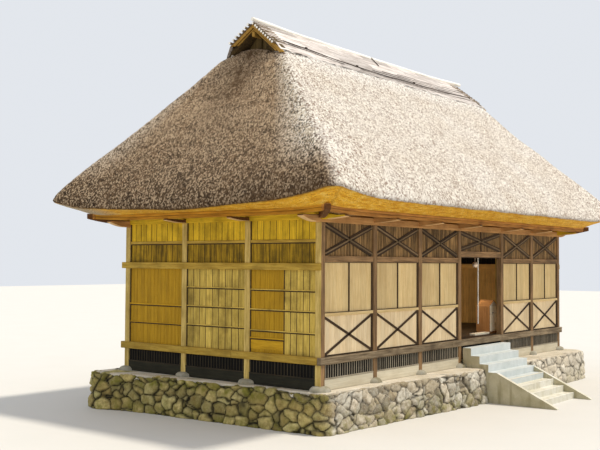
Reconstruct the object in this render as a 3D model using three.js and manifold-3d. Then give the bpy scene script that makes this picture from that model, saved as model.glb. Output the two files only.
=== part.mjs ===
// A Japanese shrine worship hall: a timber hall of six by three bays on a rubble plinth, under a hipped
// thatch roof with small gables at its ridge ends. Millimetres, +Z up. The front with its doorway faces -Y,
// and the origin is the middle of the hall's plan on the plinth's flat underside.
import * as THREE from "three";
import { mergeVertices } from "three/addons/utils/BufferGeometryUtils.js";
import Module from "manifold-3d";

const wasm = await Module();
wasm.setup();

// Clearance between a piece and the neighbour that it is let into or rests on; how far joined parts of one
// piece run into each other; and how far a cutter runs past what it cuts.
const GAP = 0.3;
const OVERLAP = 1;
const PAST = 5;

// Plan: bays of 6 shaku, with one wider doorway bay in the front.
const BAY = 1820;
const DOOR_BAY = 2275;
const SIDE_BAYS = 3;
const BAYS_LEFT_OF_DOOR = 3;
const BAYS_RIGHT_OF_DOOR = 2;
const HALF_X = ((BAYS_LEFT_OF_DOOR + BAYS_RIGHT_OF_DOOR) * BAY + DOOR_BAY) / 2;
const HALF_Y = (SIDE_BAYS * BAY) / 2;

// Heights above the lowest ground.
const PLINTH_TOP = 700;
const BED_TOP = 780;
const STONE_TOP = 870;
const BASE_BOARD_BOTTOM = 872;
const BASE_BOARD_TOP = 1000;
const BEAM_BOTTOM = 1280;
const FLOOR_TOP = 1430;
const WAIST_BOTTOM = 2210;
const WAIST_TOP = 2270;
const SIDE_RAIL_BOTTOM = 3095;
const SIDE_RAIL_TOP = 3235;
const LINTEL_BOTTOM = 3250;
const LINTEL_TOP = 3380;
const DOOR_HEAD_BOTTOM = 3385;
const DOOR_HEAD_TOP = 3545;
const UPPER_RAIL_BOTTOM = 3640;
const UPPER_RAIL_TOP = 3700;
const TIE_BOTTOM = 3900;
const TIE_TOP = 4020;
const POST_TOP = 4030;
const ARM_BOTTOM = 4085;
const PLATE_TOP = 4175;
const CROSS_BEAM_TOP = 4230;
const PURLIN_BOTTOM = 4160;
const EAVE_BOTTOM = 4280;

// Depths across a wall, measured from the posts' axis, outside negative.
const HALF_POST = 70;
const BEAM_OUT = -100;
const BEAM_IN = 0;
const RAIL_OUT = -50;
const RAIL_IN = 20;
const BRACE_OUT = -46;
const BOARD_OUT = -30;
const BOARD_IN = -4;
const TIE_OUT = 24;
const TIE_IN = 64;
const BEAM_END = 100;

// Eaves, measured outwards from the posts' axis.
const ARM_REACH = 640;
const ARM_CURVE_START = 220;
const PURLIN_OUT = 620;
const PURLIN_IN = 500;
const LIP_OUT = 1270;
const CUT_OUT = 660;
const SOFFIT_IN = 440;

const postsX = [];
for (let i = 0; i <= BAYS_LEFT_OF_DOOR; i++) postsX.push(-HALF_X + i * BAY);
for (let i = BAYS_RIGHT_OF_DOOR; i >= 0; i--) postsX.push(HALF_X - i * BAY);
const postsY = [];
for (let i = 0; i <= SIDE_BAYS; i++) postsY.push(-HALF_Y + i * BAY);
const DOOR_LEFT = postsX[BAYS_LEFT_OF_DOOR];
const DOOR_RIGHT = postsX[BAYS_LEFT_OF_DOOR + 1];

function finish(color, roughness, metalness = 0) {
  return new THREE.MeshStandardMaterial({ color, roughness, metalness });
}

const rubble = finish(0x9c9484, 0.95);
const bedStone = finish(0xc9c0ad, 0.95);
const newConcrete = finish(0xc4cdd0, 0.9);
const oldConcrete = finish(0xd9d2b4, 0.92);
const frameWood = finish(0xa8895c, 0.85);
const frontBoard = finish(0xd3b988, 0.85);
const sideBoard = finish(0xb39338, 0.85);
const floorBoard = finish(0x8a6c45, 0.8);
const thatchStraw = finish(0xb3a184, 1);
const ridgeBark = finish(0xcfc6b8, 0.95);
const gableWood = finish(0xa07f3e, 0.9);
const boxWood = finish(0xb9824a, 0.8);
const bellBrass = finish(0xb99a58, 0.4, 0.9);
const ropeCotton = finish(0xe9e6dd, 0.95);

const hall = new THREE.Group();

function addNode(name, geometry, material) {
  const mesh = new THREE.Mesh(geometry, material);
  mesh.name = name;
  hall.add(mesh);
}

function box(x0, x1, y0, y1, z0, z1) {
  const made = new THREE.BoxGeometry(x1 - x0, y1 - y0, z1 - z0);
  return made.translate((x0 + x1) / 2, (y0 + y1) / 2, (z0 + z1) / 2);
}

function solid(geometry) {
  const bare = geometry.clone();
  bare.deleteAttribute("normal");
  bare.deleteAttribute("uv");
  const merged = mergeVertices(bare, 1e-3);
  const triVerts = new Uint32Array(merged.index.array);
  const vertProperties = new Float32Array(merged.attributes.position.array);
  return new wasm.Manifold(new wasm.Mesh({ numProp: 3, vertProperties, triVerts }));
}

function geometryOf(made) {
  const mesh = made.getMesh();
  const geometry = new THREE.BufferGeometry();
  geometry.setAttribute("position", new THREE.BufferAttribute(new Float32Array(mesh.vertProperties), 3));
  geometry.setIndex(new THREE.BufferAttribute(new Uint32Array(mesh.triVerts), 1));
  geometry.computeVertexNormals();
  return geometry;
}

function join(geometries) {
  let made = solid(geometries[0]);
  for (const piece of geometries.slice(1)) made = made.add(solid(piece));
  return geometryOf(made);
}

function cut(geometry, cutters) {
  let made = solid(geometry);
  for (const cutter of cutters) made = made.subtract(solid(cutter));
  return geometryOf(made);
}

function common(first, second) {
  return geometryOf(solid(first).intersect(solid(second)));
}

function extrude(points, depth) {
  const shape = new THREE.Shape(points.map(([a, b]) => new THREE.Vector2(a, b)));
  return new THREE.ExtrudeGeometry(shape, { depth, bevelEnabled: false });
}

// Prisms: an outline in plan (x, y), one across the hall (y, z), and one along it (x, z).
function planPrism(points, z0, z1) {
  return extrude(points, z1 - z0).translate(0, 0, z0);
}

function crossPrism(points, x0, x1) {
  return extrude(points, x1 - x0).rotateX(Math.PI / 2).rotateZ(Math.PI / 2).translate(x0, 0, 0);
}

function facePrism(points, y0, y1) {
  return extrude(points, y1 - y0).rotateX(Math.PI / 2).translate(0, y1, 0);
}

// Each wall is drawn as a run along X with its outside at -Y and the posts' axis at y = 0, then put on its
// side of the hall.
const SIDES = {
  front: { turn: 0, out: HALF_Y },
  right: { turn: Math.PI / 2, out: HALF_X },
  rear: { turn: Math.PI, out: HALF_Y },
  left: { turn: -Math.PI / 2, out: HALF_X },
};

function onSide(side, geometry) {
  const { turn, out } = SIDES[side];
  return geometry.clone().translate(0, -out, 0).rotateZ(turn);
}

// Plinth: the rubble wall's outline in plan, a little out of line as laid by hand. It is wider at its foot
// and runs down flat to the lowest point of the sloping ground.
const PLINTH_BATTER = 70;
const BED_INSET = 60;
const plinthOutline = [
  [-HALF_X - 220, -HALF_Y - 340],
  [-HALF_X + 700, -HALF_Y - 360],
  [-HALF_X + 2300, -HALF_Y - 470],
  [-HALF_X + 4700, -HALF_Y - 680],
  [-HALF_X + 5300, -HALF_Y - 960],
  [DOOR_RIGHT + 200, -HALF_Y - 760],
  [HALF_X + 250, -HALF_Y - 700],
  [HALF_X + 500, -HALF_Y - 450],
  [HALF_X + 560, HALF_Y + 450],
  [HALF_X + 400, HALF_Y + 620],
  [-HALF_X - 660, HALF_Y + 500],
  [-HALF_X - 900, HALF_Y + 100],
  [-HALF_X - 750, HALF_Y - 300],
  [-HALF_X - 610, HALF_Y - 800],
  [-HALF_X - 540, HALF_Y - 1400],
  [-HALF_X - 430, HALF_Y - 2900],
  [-HALF_X - 350, -HALF_Y + 1300],
  [-HALF_X - 270, -HALF_Y - 200],
];

const STAIR_LEFT = DOOR_LEFT + HALF_POST;
const STAIR_RIGHT = DOOR_RIGHT - HALF_POST;
const STAIR_NOTCH = 545;

function outwards(points, distance) {
  return points.map(([x, y]) => [x + Math.sign(x) * distance, y + Math.sign(y) * distance]);
}

function stairNotch() {
  return box(
    STAIR_LEFT - GAP, STAIR_RIGHT + GAP, -2 * HALF_Y, -HALF_Y - STAIR_NOTCH, -PAST, BED_TOP + PAST,
  );
}

function rubblePlinth() {
  const rings = [[outwards(plinthOutline, PLINTH_BATTER), 0], [plinthOutline, PLINTH_TOP]];
  const count = plinthOutline.length;
  const positions = rings.flatMap(([ring, z]) => ring.flatMap(([x, y]) => [x, y, z]));
  const index = [];
  for (let i = 0; i < count; i++) {
    const next = (i + 1) % count;
    index.push(i, next, count + next, i, count + next, count + i);
  }
  const flat = plinthOutline.map(([x, y]) => new THREE.Vector2(x, y));
  for (const [a, b, c] of THREE.ShapeUtils.triangulateShape(flat, [])) {
    index.push(count + a, count + b, count + c, a, c, b);
  }
  const geometry = new THREE.BufferGeometry();
  geometry.setAttribute("position", new THREE.Float32BufferAttribute(positions, 3));
  geometry.setIndex(index);
  return cut(geometry, [stairNotch()]);
}

addNode("rubble_plinth", rubblePlinth(), rubble);

// The plinth's filled top, with a natural foot-stone let into it under every post.
const STONE_RADIUS = 150;
const STONE_ROUND = 40;

function footStone(x, y) {
  const profile = [
    new THREE.Vector2(0, BED_TOP - STONE_ROUND),
    new THREE.Vector2(STONE_RADIUS, BED_TOP - STONE_ROUND),
    new THREE.Vector2(STONE_RADIUS, STONE_TOP - STONE_ROUND),
    new THREE.Vector2(STONE_RADIUS - STONE_ROUND / 2, STONE_TOP),
    new THREE.Vector2(0, STONE_TOP),
  ];
  return new THREE.LatheGeometry(profile, 8).rotateX(Math.PI / 2).translate(x, y, 0);
}

function plinthBed() {
  const slab = planPrism(outwards(plinthOutline, -BED_INSET), PLINTH_TOP, BED_TOP);
  const stones = [];
  for (const x of postsX) stones.push(footStone(x, -HALF_Y), footStone(x, HALF_Y));
  for (const y of postsY.slice(1, SIDE_BAYS)) stones.push(footStone(-HALF_X, y), footStone(HALF_X, y));
  const stairSeat = box(
    STAIR_LEFT - GAP, STAIR_RIGHT + GAP, -HALF_Y - 2 * STONE_RADIUS, -HALF_Y + BEAM_OUT,
    BED_TOP, STONE_TOP + PAST,
  );
  return cut(join([slab, ...stones]), [stairNotch(), stairSeat]);
}

addNode("plinth_bed", plinthBed(), bedStone);

// Steps: newer treads against the doorway, then older ones between two sloping cheeks.
const UPPER_TREADS = 4;
const UPPER_RISE = 177;
const UPPER_GOING = 225;
const UPPER_TOP = 1240;
const UPPER_FIRST_EDGE = 320;
const UPPER_FOOT = UPPER_FIRST_EDGE + (UPPER_TREADS - 1) * UPPER_GOING;
const LOWER_TREADS = 4;
const LOWER_RISE = 142;
const LOWER_GOING = 257.5;
const CHEEK_THICK = 110;
const CHEEK_TOP = 700;
const CHEEK_END = 2440;
const CHEEK_TOE = 25;

function upperSteps() {
  const profile = [[-BEAM_OUT + GAP, BED_TOP + GAP]];
  let edge = -BEAM_OUT + GAP;
  for (let i = 0; i < UPPER_TREADS; i++) {
    const z = UPPER_TOP - i * UPPER_RISE;
    profile.push([edge, z]);
    edge = UPPER_FIRST_EDGE + i * UPPER_GOING;
    profile.push([edge, z]);
  }
  profile.push([edge, 0], [STAIR_NOTCH + GAP, 0], [STAIR_NOTCH + GAP, BED_TOP + GAP]);
  return crossPrism(profile.map(([out, z]) => [-HALF_Y - out, z]), STAIR_LEFT, STAIR_RIGHT);
}

function lowerSteps() {
  const profile = [[UPPER_FOOT + GAP, 0]];
  let edge = UPPER_FOOT + GAP;
  for (let i = 0; i < LOWER_TREADS; i++) {
    const z = (LOWER_TREADS - i) * LOWER_RISE;
    profile.push([edge, z]);
    edge = UPPER_FOOT + (i + 1) * LOWER_GOING;
    profile.push([edge, z]);
  }
  profile.push([edge, 0]);
  const inset = CHEEK_THICK + GAP;
  return crossPrism(profile.map(([out, z]) => [-HALF_Y - out, z]), STAIR_LEFT + inset, STAIR_RIGHT - inset);
}

function stairCheek(x0) {
  const profile = [
    [UPPER_FOOT + GAP, 0], [UPPER_FOOT + GAP, CHEEK_TOP], [CHEEK_END, CHEEK_TOE], [CHEEK_END, 0],
  ];
  return crossPrism(profile.map(([out, z]) => [-HALF_Y - out, z]), x0, x0 + CHEEK_THICK);
}

addNode("upper_steps", upperSteps(), newConcrete);
addNode("lower_steps", lowerSteps(), oldConcrete);
addNode("left_stair_cheek", stairCheek(STAIR_LEFT), oldConcrete);
addNode("right_stair_cheek", stairCheek(STAIR_RIGHT - CHEEK_THICK), oldConcrete);

// Posts: each wall's posts are tied at the head by a rail on the inside. Their faces are mortised and
// notched for the beams and rails that run past them.
const CORNER_RAIL_END = HALF_X - GAP;
const SIDE_BEAM_START = -HALF_Y + GAP;
const SIDE_BEAM_END = HALF_Y + HALF_POST + BEAM_END;
const FRONT_BEAM_END = HALF_X + HALF_POST + BEAM_END;

function post(x, top) {
  return box(x - HALF_POST, x + HALF_POST, -HALF_POST, HALF_POST, STONE_TOP, top);
}

function wider(x0, x1, y0, y1, z0, z1) {
  return box(x0 - GAP, x1 + GAP, y0 - GAP, y1 + GAP, z0 - GAP, z1 + GAP);
}

// What every post at the front lets through, and what those of the other walls do.
const FAR = 9000;
const frontMortises = () => [
  wider(-FAR, FAR, BEAM_OUT, BEAM_IN, BEAM_BOTTOM, FLOOR_TOP),
  wider(-HALF_X, DOOR_LEFT, RAIL_OUT, RAIL_IN, WAIST_BOTTOM, WAIST_TOP),
  wider(-HALF_X, DOOR_LEFT, RAIL_OUT, RAIL_IN, LINTEL_BOTTOM, LINTEL_TOP),
  wider(DOOR_RIGHT, HALF_X, RAIL_OUT, RAIL_IN, WAIST_BOTTOM, WAIST_TOP),
  wider(DOOR_RIGHT, HALF_X, RAIL_OUT, RAIL_IN, LINTEL_BOTTOM, LINTEL_TOP),
];
const sideMortises = () => [
  wider(-FAR, FAR, BEAM_OUT, BEAM_IN, BEAM_BOTTOM, FLOOR_TOP),
  wider(-FAR, FAR, BEAM_OUT, BEAM_IN, SIDE_RAIL_BOTTOM, SIDE_RAIL_TOP),
];

function postRow(side, places, top, mortises) {
  const tie = box(places[0], places[places.length - 1], TIE_OUT, TIE_IN, TIE_BOTTOM, TIE_TOP);
  const row = cut(join([tie, ...places.map((x) => post(x, top))]), mortises);
  return onSide(side, row);
}

// The corner posts belong to the front and rear rows, and also carry the ends of the side walls' rails.
function cornerCuts() {
  const cuts = [];
  for (const side of ["left", "right"]) {
    for (const [z0, z1] of [[BEAM_BOTTOM, FLOOR_TOP], [SIDE_RAIL_BOTTOM, SIDE_RAIL_TOP]]) {
      cuts.push(onSide(side, wider(-HALF_Y - HALF_POST, HALF_Y + HALF_POST, BEAM_OUT, BEAM_IN, z0, z1)));
    }
  }
  return cuts;
}

const frontLeftPosts = postRow("front", postsX.slice(0, BAYS_LEFT_OF_DOOR + 1), POST_TOP, frontMortises());
const frontRightPosts = postRow("front", postsX.slice(BAYS_LEFT_OF_DOOR + 1), POST_TOP, frontMortises());
const rearPosts = postRow("rear", postsX.map((x) => -x).reverse(), POST_TOP, sideMortises());
const middleY = postsY.slice(1, SIDE_BAYS);

addNode("front_left_posts", cut(frontLeftPosts, cornerCuts()), frameWood);
addNode("front_right_posts", cut(frontRightPosts, cornerCuts()), frameWood);
addNode("rear_posts", cut(rearPosts, cornerCuts()), frameWood);
addNode("left_side_posts", postRow("left", middleY, ARM_BOTTOM - GAP, sideMortises()), frameWood);
addNode("right_side_posts", postRow("right", middleY, ARM_BOTTOM - GAP, sideMortises()), frameWood);

// Underfloor skirts: the floor beam clasps the posts from outside, with upright slats and a base board
// hung under it between the posts.
const SLAT_PITCH = 80;
const SLAT_WIDTH = 42;
const SLAT_OUT = -64;
const SLAT_IN = -44;
const BASE_BOARD_IN = -38;

function slatBay(x0, x1) {
  const count = Math.round((x1 - x0) / SLAT_PITCH);
  const pitch = (x1 - x0) / count;
  const gapHalf = (pitch - SLAT_WIDTH) / 2;
  const screen = box(x0, x1, SLAT_OUT, SLAT_IN, BASE_BOARD_TOP - OVERLAP, BEAM_BOTTOM + OVERLAP);
  const gaps = [];
  for (let i = 0; i < count; i++) {
    const x = x0 + (i + 0.5) * pitch;
    gaps.push(box(x - gapHalf, x + gapHalf, SLAT_OUT - PAST, SLAT_IN + PAST, BASE_BOARD_TOP, BEAM_BOTTOM));
  }
  return join([cut(screen, gaps), box(x0, x1, SLAT_OUT, BASE_BOARD_IN, BASE_BOARD_BOTTOM, BASE_BOARD_TOP)]);
}

function skirt(places, beamStart, beamEnd, openBay = -1) {
  const pieces = [box(beamStart, beamEnd, BEAM_OUT, BEAM_IN, BEAM_BOTTOM, FLOOR_TOP)];
  for (let i = 0; i + 1 < places.length; i++) {
    if (i !== openBay) pieces.push(slatBay(places[i] + HALF_POST + GAP, places[i + 1] - HALF_POST - GAP));
  }
  return join(pieces);
}

const frontSkirt = skirt(postsX, -HALF_X + BEAM_OUT, FRONT_BEAM_END, BAYS_LEFT_OF_DOOR);
const rearSkirt = skirt(postsX.map((x) => -x).reverse(), -CORNER_RAIL_END, CORNER_RAIL_END);
const sideSkirt = skirt(postsY, SIDE_BEAM_START, SIDE_BEAM_END);

// The left side's runs are the right side's mirrored, so that both have the same end towards the rear.
function mirroredX(geometry) {
  return geometryOf(solid(geometry).scale([-1, 1, 1]));
}

addNode("front_underfloor_skirt", onSide("front", frontSkirt), frameWood);
addNode("rear_underfloor_skirt", onSide("rear", rearSkirt), frameWood);
addNode("left_underfloor_skirt", onSide("left", mirroredX(sideSkirt)), frameWood);
addNode("right_underfloor_skirt", onSide("right", sideSkirt), frameWood);

// Floor: boards on joists, let in round the posts.
const FLOOR_THICK = 40;
const JOIST = 90;
const JOIST_COUNT = 7;
const JOIST_BOTTOM = BEAM_BOTTOM + 20;

function hallFloor() {
  const endX = HALF_X - GAP;
  const endY = HALF_Y - GAP;
  const pieces = [box(-endX, endX, -endY, endY, FLOOR_TOP - FLOOR_THICK, FLOOR_TOP)];
  for (let i = 0; i < JOIST_COUNT; i++) {
    const y = -HALF_Y + ((i + 0.5) * 2 * HALF_Y) / JOIST_COUNT;
    const top = FLOOR_TOP - FLOOR_THICK + OVERLAP;
    pieces.push(box(-endX, endX, y - JOIST / 2, y + JOIST / 2, JOIST_BOTTOM, top));
  }
  const cuts = [];
  const half = HALF_POST + GAP;
  const around = (x, y) => box(x - half, x + half, y - half, y + half, BEAM_BOTTOM, FLOOR_TOP + PAST);
  for (const x of postsX) cuts.push(around(x, -HALF_Y), around(x, HALF_Y));
  for (const y of middleY) cuts.push(around(-HALF_X, y), around(HALF_X, y));
  return cut(join(pieces), cuts);
}

addNode("hall_floor", hallFloor(), floorBoard);

// Crossed braces corner to corner in a bay, standing proud of its boards.
function crossBraces(x0, x1, z0, z1, width) {
  const middle = [(x0 + x1) / 2, (z0 + z1) / 2];
  const rise = Math.atan2(z1 - z0 - width, x1 - x0 - width);
  const long = Math.hypot(z1 - z0, x1 - x0);
  const frame = box(x0, x1, BRACE_OUT, BOARD_OUT + OVERLAP, z0, z1);
  const bars = [rise, -rise].map((angle) => {
    const bar = box(-long / 2, long / 2, BRACE_OUT, BOARD_OUT + OVERLAP, -width / 2, width / 2);
    return bar.rotateY(-angle).translate(middle[0], 0, middle[1]);
  });
  return common(join(bars), frame);
}

function boards(x0, x1, z0, z1) {
  return box(x0, x1, BOARD_OUT, BOARD_IN, z0, z1);
}

// Front bay: a cross-braced panel under the waist rail, a pair of board shutters with a stile between
// them, and a cross-braced transom over the lintel.
const LOWER_BRACE = 34;
const TRANSOM_BRACE = 84;
const STILE_HALF = 20;

function frontBay(left, right) {
  const x0 = left + HALF_POST + GAP;
  const x1 = right - HALF_POST - GAP;
  const middle = (x0 + x1) / 2;
  return [
    boards(x0, x1, FLOOR_TOP + GAP, POST_TOP - GAP),
    crossBraces(x0, x1, FLOOR_TOP + GAP, WAIST_BOTTOM, LOWER_BRACE),
    crossBraces(x0, x1, LINTEL_TOP, POST_TOP - GAP, TRANSOM_BRACE),
    box(middle - STILE_HALF, middle + STILE_HALF, BRACE_OUT, BOARD_OUT + OVERLAP, WAIST_TOP, LINTEL_BOTTOM),
  ];
}

function frontWall(places) {
  const first = places[0];
  const last = places[places.length - 1];
  const pieces = [
    box(first, last, RAIL_OUT, RAIL_IN, WAIST_BOTTOM, WAIST_TOP),
    box(first, last, RAIL_OUT, RAIL_IN, LINTEL_BOTTOM, LINTEL_TOP),
  ];
  for (let i = 0; i + 1 < places.length; i++) pieces.push(...frontBay(places[i], places[i + 1]));
  return join(pieces);
}

addNode("front_left_wall", onSide("front", frontWall(postsX.slice(0, BAYS_LEFT_OF_DOOR + 1))), frontBoard);
addNode("front_right_wall", onSide("front", frontWall(postsX.slice(BAYS_LEFT_OF_DOOR + 1))), frontBoard);

// Door head: the lintel that stands higher than its neighbours, the transom over it, and a cleat behind it
// for the bell and its rope.
const BELL_X = 1060;
const ROPE_X = 1217;
const BELL_IN = 200;
const CLEAT_PAST_BELL = 60;
const CLEAT_PAST_ROPE = 40;
const CLEAT_HALF = 35;
const CLEAT_TOP = 3500;
const CLEAT_BOTTOM = 3430;

function doorHead() {
  const x0 = STAIR_LEFT + GAP;
  const x1 = STAIR_RIGHT - GAP;
  return join([
    box(x0, x1, RAIL_OUT, RAIL_IN, DOOR_HEAD_BOTTOM, DOOR_HEAD_TOP),
    boards(x0, x1, DOOR_HEAD_TOP - OVERLAP, POST_TOP - GAP),
    crossBraces(x0, x1, DOOR_HEAD_TOP, POST_TOP - GAP, TRANSOM_BRACE),
    box(
      BELL_X - CLEAT_PAST_BELL, ROPE_X + CLEAT_PAST_ROPE, RAIL_IN - OVERLAP, BELL_IN + CLEAT_HALF,
      CLEAT_BOTTOM, CLEAT_TOP,
    ),
  ]);
}

addNode("door_head", onSide("front", doorHead()), frameWood);

// Side and rear walls: boards between posts, with a rail clasping the posts from outside above head height
// and a thinner one between the upper boards.
function boardWall(places, railStart, railEnd, top) {
  const pieces = [box(railStart, railEnd, BEAM_OUT, BEAM_IN, SIDE_RAIL_BOTTOM, SIDE_RAIL_TOP)];
  for (let i = 0; i + 1 < places.length; i++) {
    const x0 = places[i] + HALF_POST + GAP;
    const x1 = places[i + 1] - HALF_POST - GAP;
    pieces.push(boards(x0, x1, FLOOR_TOP + GAP, top - GAP));
    pieces.push(box(x0, x1, BRACE_OUT, BOARD_IN, UPPER_RAIL_BOTTOM, UPPER_RAIL_TOP));
  }
  return join(pieces);
}

const sideWall = boardWall(postsY, -HALF_Y - HALF_POST, SIDE_BEAM_END, ARM_BOTTOM);
const rearPlaces = postsX.map((x) => -x).reverse();
const rearWall = boardWall(rearPlaces, -CORNER_RAIL_END, CORNER_RAIL_END, POST_TOP);
addNode("left_wall", onSide("left", mirroredX(sideWall)), sideBoard);
addNode("right_wall", onSide("right", sideWall), sideBoard);
addNode("rear_wall", onSide("rear", rearWall), sideBoard);

// Boat-shaped arm end: its underside sweeps up from the wall to the tip under the purlin.
const ARM_TIP = 36;
const ARM_STEPS = 5;
const ARM_SWEEP = 1.6;

function armUnderside(root) {
  const points = [];
  for (let i = 0; i <= ARM_STEPS; i++) {
    const t = i / ARM_STEPS;
    const out = ARM_CURVE_START + t * (ARM_REACH - ARM_CURVE_START);
    points.push([out, root + (PURLIN_BOTTOM - ARM_TIP - root) * t ** ARM_SWEEP]);
  }
  return points;
}

// Outline of a beam with an arm at both ends: half is the distance from its middle to the posts' axis.
function armedBeam(half, root, top) {
  const under = armUnderside(root).map(([out, z]) => [half + out, z]);
  const seat = PURLIN_BOTTOM - GAP;
  const rightEnd = [...under, [half + ARM_REACH, seat], [half + SOFFIT_IN, seat], [half + HALF_POST, top]];
  const leftEnd = rightEnd.map(([a, z]) => [-a, z]).reverse();
  return [...rightEnd, ...leftEnd];
}

// Wall plates along the front and rear, notched from above for the beams that cross them.
const CROSS_HALF = 60;

function wallPlate() {
  const beam = facePrism(armedBeam(HALF_X, POST_TOP, PLATE_TOP), -HALF_POST, HALF_POST);
  const notches = postsX.map((x, i) => {
    const half = (i === 0 || i === postsX.length - 1 ? HALF_POST : CROSS_HALF) + GAP;
    return box(x - half, x + half, -HALF_POST - PAST, HALF_POST + PAST, ARM_BOTTOM - GAP, PLATE_TOP + PAST);
  });
  return cut(beam, notches);
}

addNode("front_wall_plate", wallPlate().translate(0, -HALF_Y, 0), frameWood);
addNode("rear_wall_plate", wallPlate().translate(0, HALF_Y, 0), frameWood);

// Cross beams run through from eave to eave over the plates. The outermost two are the side walls' plates.
function crossBeam(x, half) {
  return crossPrism(armedBeam(HALF_Y, ARM_BOTTOM, CROSS_BEAM_TOP), x - half, x + half);
}

// Short arms over the side walls' middle posts, tenoned into the side plates.
function sideArm(side, y) {
  const seat = PURLIN_BOTTOM - GAP;
  const root = HALF_POST - OVERLAP;
  const outline = [[root, seat], [root, ARM_BOTTOM], ...armUnderside(ARM_BOTTOM), [ARM_REACH, seat]];
  const arm = crossPrism(outline.map(([out, z]) => [-out, z]), -CROSS_HALF, CROSS_HALF);
  return onSide(side, arm.translate(y, 0, 0));
}

function sidePlate(side, x) {
  return join([crossBeam(x, HALF_POST), ...middleY.map((y) => sideArm(side, y))]);
}

addNode("left_wall_plate", sidePlate("left", -HALF_X), frameWood);
addNode("right_wall_plate", sidePlate("right", HALF_X), frameWood);
postsX.slice(1, -1).forEach((x, i) => {
  addNode("cross_beam_" + (i + 1), crossBeam(x, CROSS_HALF), frameWood);
});

// Eave purlins on the arms. The front and rear ones run over the corners, and carry the corner arms, which
// point out diagonally and end square under the thatch.
const CORNER_ARM_HALF = 55;
const CORNER_ARM_IN = 112;
const CORNER_ARM_BEND = 260;
const CORNER_ARM_OUT = 690;
const CORNER_ARM_TIP = 4165;

function cornerArm(sign) {
  const top = EAVE_BOTTOM - GAP;
  const outline = [
    [CORNER_ARM_IN, ARM_BOTTOM], [CORNER_ARM_BEND, ARM_BOTTOM],
    [CORNER_ARM_OUT, CORNER_ARM_TIP], [CORNER_ARM_OUT, top], [CORNER_ARM_IN, top],
  ].map(([out, z]) => [out * Math.SQRT2, z]);
  const arm = facePrism(outline, -CORNER_ARM_HALF, CORNER_ARM_HALF);
  return arm.rotateZ(-Math.PI / 2 + (sign * Math.PI) / 4).translate(sign * HALF_X, 0, 0);
}

function longPurlin() {
  const end = HALF_X + ARM_REACH;
  const beam = box(-end, end, -PURLIN_OUT, -PURLIN_IN, PURLIN_BOTTOM, EAVE_BOTTOM - GAP);
  return join([beam, cornerArm(-1), cornerArm(1)]);
}

function shortPurlin() {
  const end = HALF_Y + PURLIN_IN - GAP;
  const beam = box(-end, end, -PURLIN_OUT, -PURLIN_IN, PURLIN_BOTTOM, EAVE_BOTTOM - GAP);
  const corner = [];
  for (const sign of [-1, 1]) {
    const half = CORNER_ARM_HALF + GAP;
    const cutter = box(-BAY, BAY, -half, half, PURLIN_BOTTOM - PAST, EAVE_BOTTOM + PAST);
    corner.push(cutter.rotateZ((-sign * Math.PI) / 4).translate(sign * HALF_Y, 0, 0));
  }
  return cut(beam, corner);
}

addNode("front_eave_purlin", onSide("front", longPurlin()), frameWood);
addNode("rear_eave_purlin", onSide("rear", longPurlin()), frameWood);
addNode("left_eave_purlin", onSide("left", shortPurlin()), frameWood);
addNode("right_eave_purlin", onSide("right", shortPurlin()), frameWood);

// Thatch: slopes from a lip that sweeps up towards rounded corners, to the foot of the small gables, and on
// at a flatter pitch to the peak. The gable ends lean back a little towards the peak.
const LIP_FRONT = 4425;
const LIP_SIDE = 4298;
const LIP_RADIUS = 220;
const FRONT_RISE = 165;
const FRONT_REACH = 2430;
const SIDE_RISE = 170;
const SIDE_FLICK = 122;
const SIDE_FLICK_REACH = 1200;
const CUT_RADIUS = 100;
const GABLE_X = 4700;
const GABLE_HALF = 970;
const GABLE_RADIUS = 140;
const GABLE_FOOT = 7800;
const GABLE_LEAN = 0.225;
const THATCH_PEAK = 8570;
const ATTIC_X = 4240;
const ATTIC_HALF = 620;
const ATTIC_SHOULDER = 7250;
const ATTIC_PEAK = 7800;
const CORNER_STEPS = 6;
const FRONT_SHARES = [0.36, 0.25, 0.17, 0.1, 0.04];
const SIDE_SHARES = [0.05, 0.11, 0.18, 0.27, 0.4, 0.62, 0.85];

// Share of the way in from the lip to the gable's foot, against share of the way up.
const SLOPE_PROFILE = [[0, 0], [0.02, 0.07], [0.115, 0.19], [0.275, 0.34], [0.59, 0.62], [1, 1]];

// Rounded rectangle in plan, walked anticlockwise. Each place also has its share of the front and rear (1)
// or of the sides (0), and its share of the way from the corner's rounding (0) to the middle of its side (1).
function roundedRing(halfX, halfY, radius) {
  const ring = [];
  const flatX = halfX - radius;
  const flatY = halfY - radius;
  for (const [sx, sy] of [[1, -1], [1, 1], [-1, 1], [-1, -1]]) {
    const quarter = [];
    for (const share of FRONT_SHARES) {
      quarter.push({ x: flatX * (1 - share), y: halfY, frontShare: 1, share });
    }
    for (let i = 0; i <= CORNER_STEPS; i++) {
      const angle = ((i / CORNER_STEPS) * Math.PI) / 2;
      quarter.push({
        x: flatX + radius * Math.sin(angle),
        y: flatY + radius * Math.cos(angle),
        frontShare: Math.cos(angle) ** 2,
        share: 0,
      });
    }
    for (const share of SIDE_SHARES) {
      quarter.push({ x: halfX, y: flatY * (1 - share), frontShare: 0, share });
    }
    if (sx * sy > 0) quarter.reverse();
    for (const place of quarter) ring.push({ ...place, x: sx * place.x, y: sy * place.y });
  }
  return ring;
}

// Closed solid through rings with equal counts of points.
function loft(rings) {
  const count = rings[0].length;
  const index = [];
  for (let k = 0; k + 1 < rings.length; k++) {
    for (let i = 0; i < count; i++) {
      const a = k * count + i;
      const b = k * count + ((i + 1) % count);
      index.push(a, b, b + count, a, b + count, a + count);
    }
  }
  const top = (rings.length - 1) * count;
  for (let i = 1; i + 1 < count; i++) index.push(0, i + 1, i, top, top + i, top + i + 1);
  const geometry = new THREE.BufferGeometry();
  geometry.setAttribute("position", new THREE.Float32BufferAttribute(rings.flat(2), 3));
  geometry.setIndex(index);
  return geometry;
}

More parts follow.
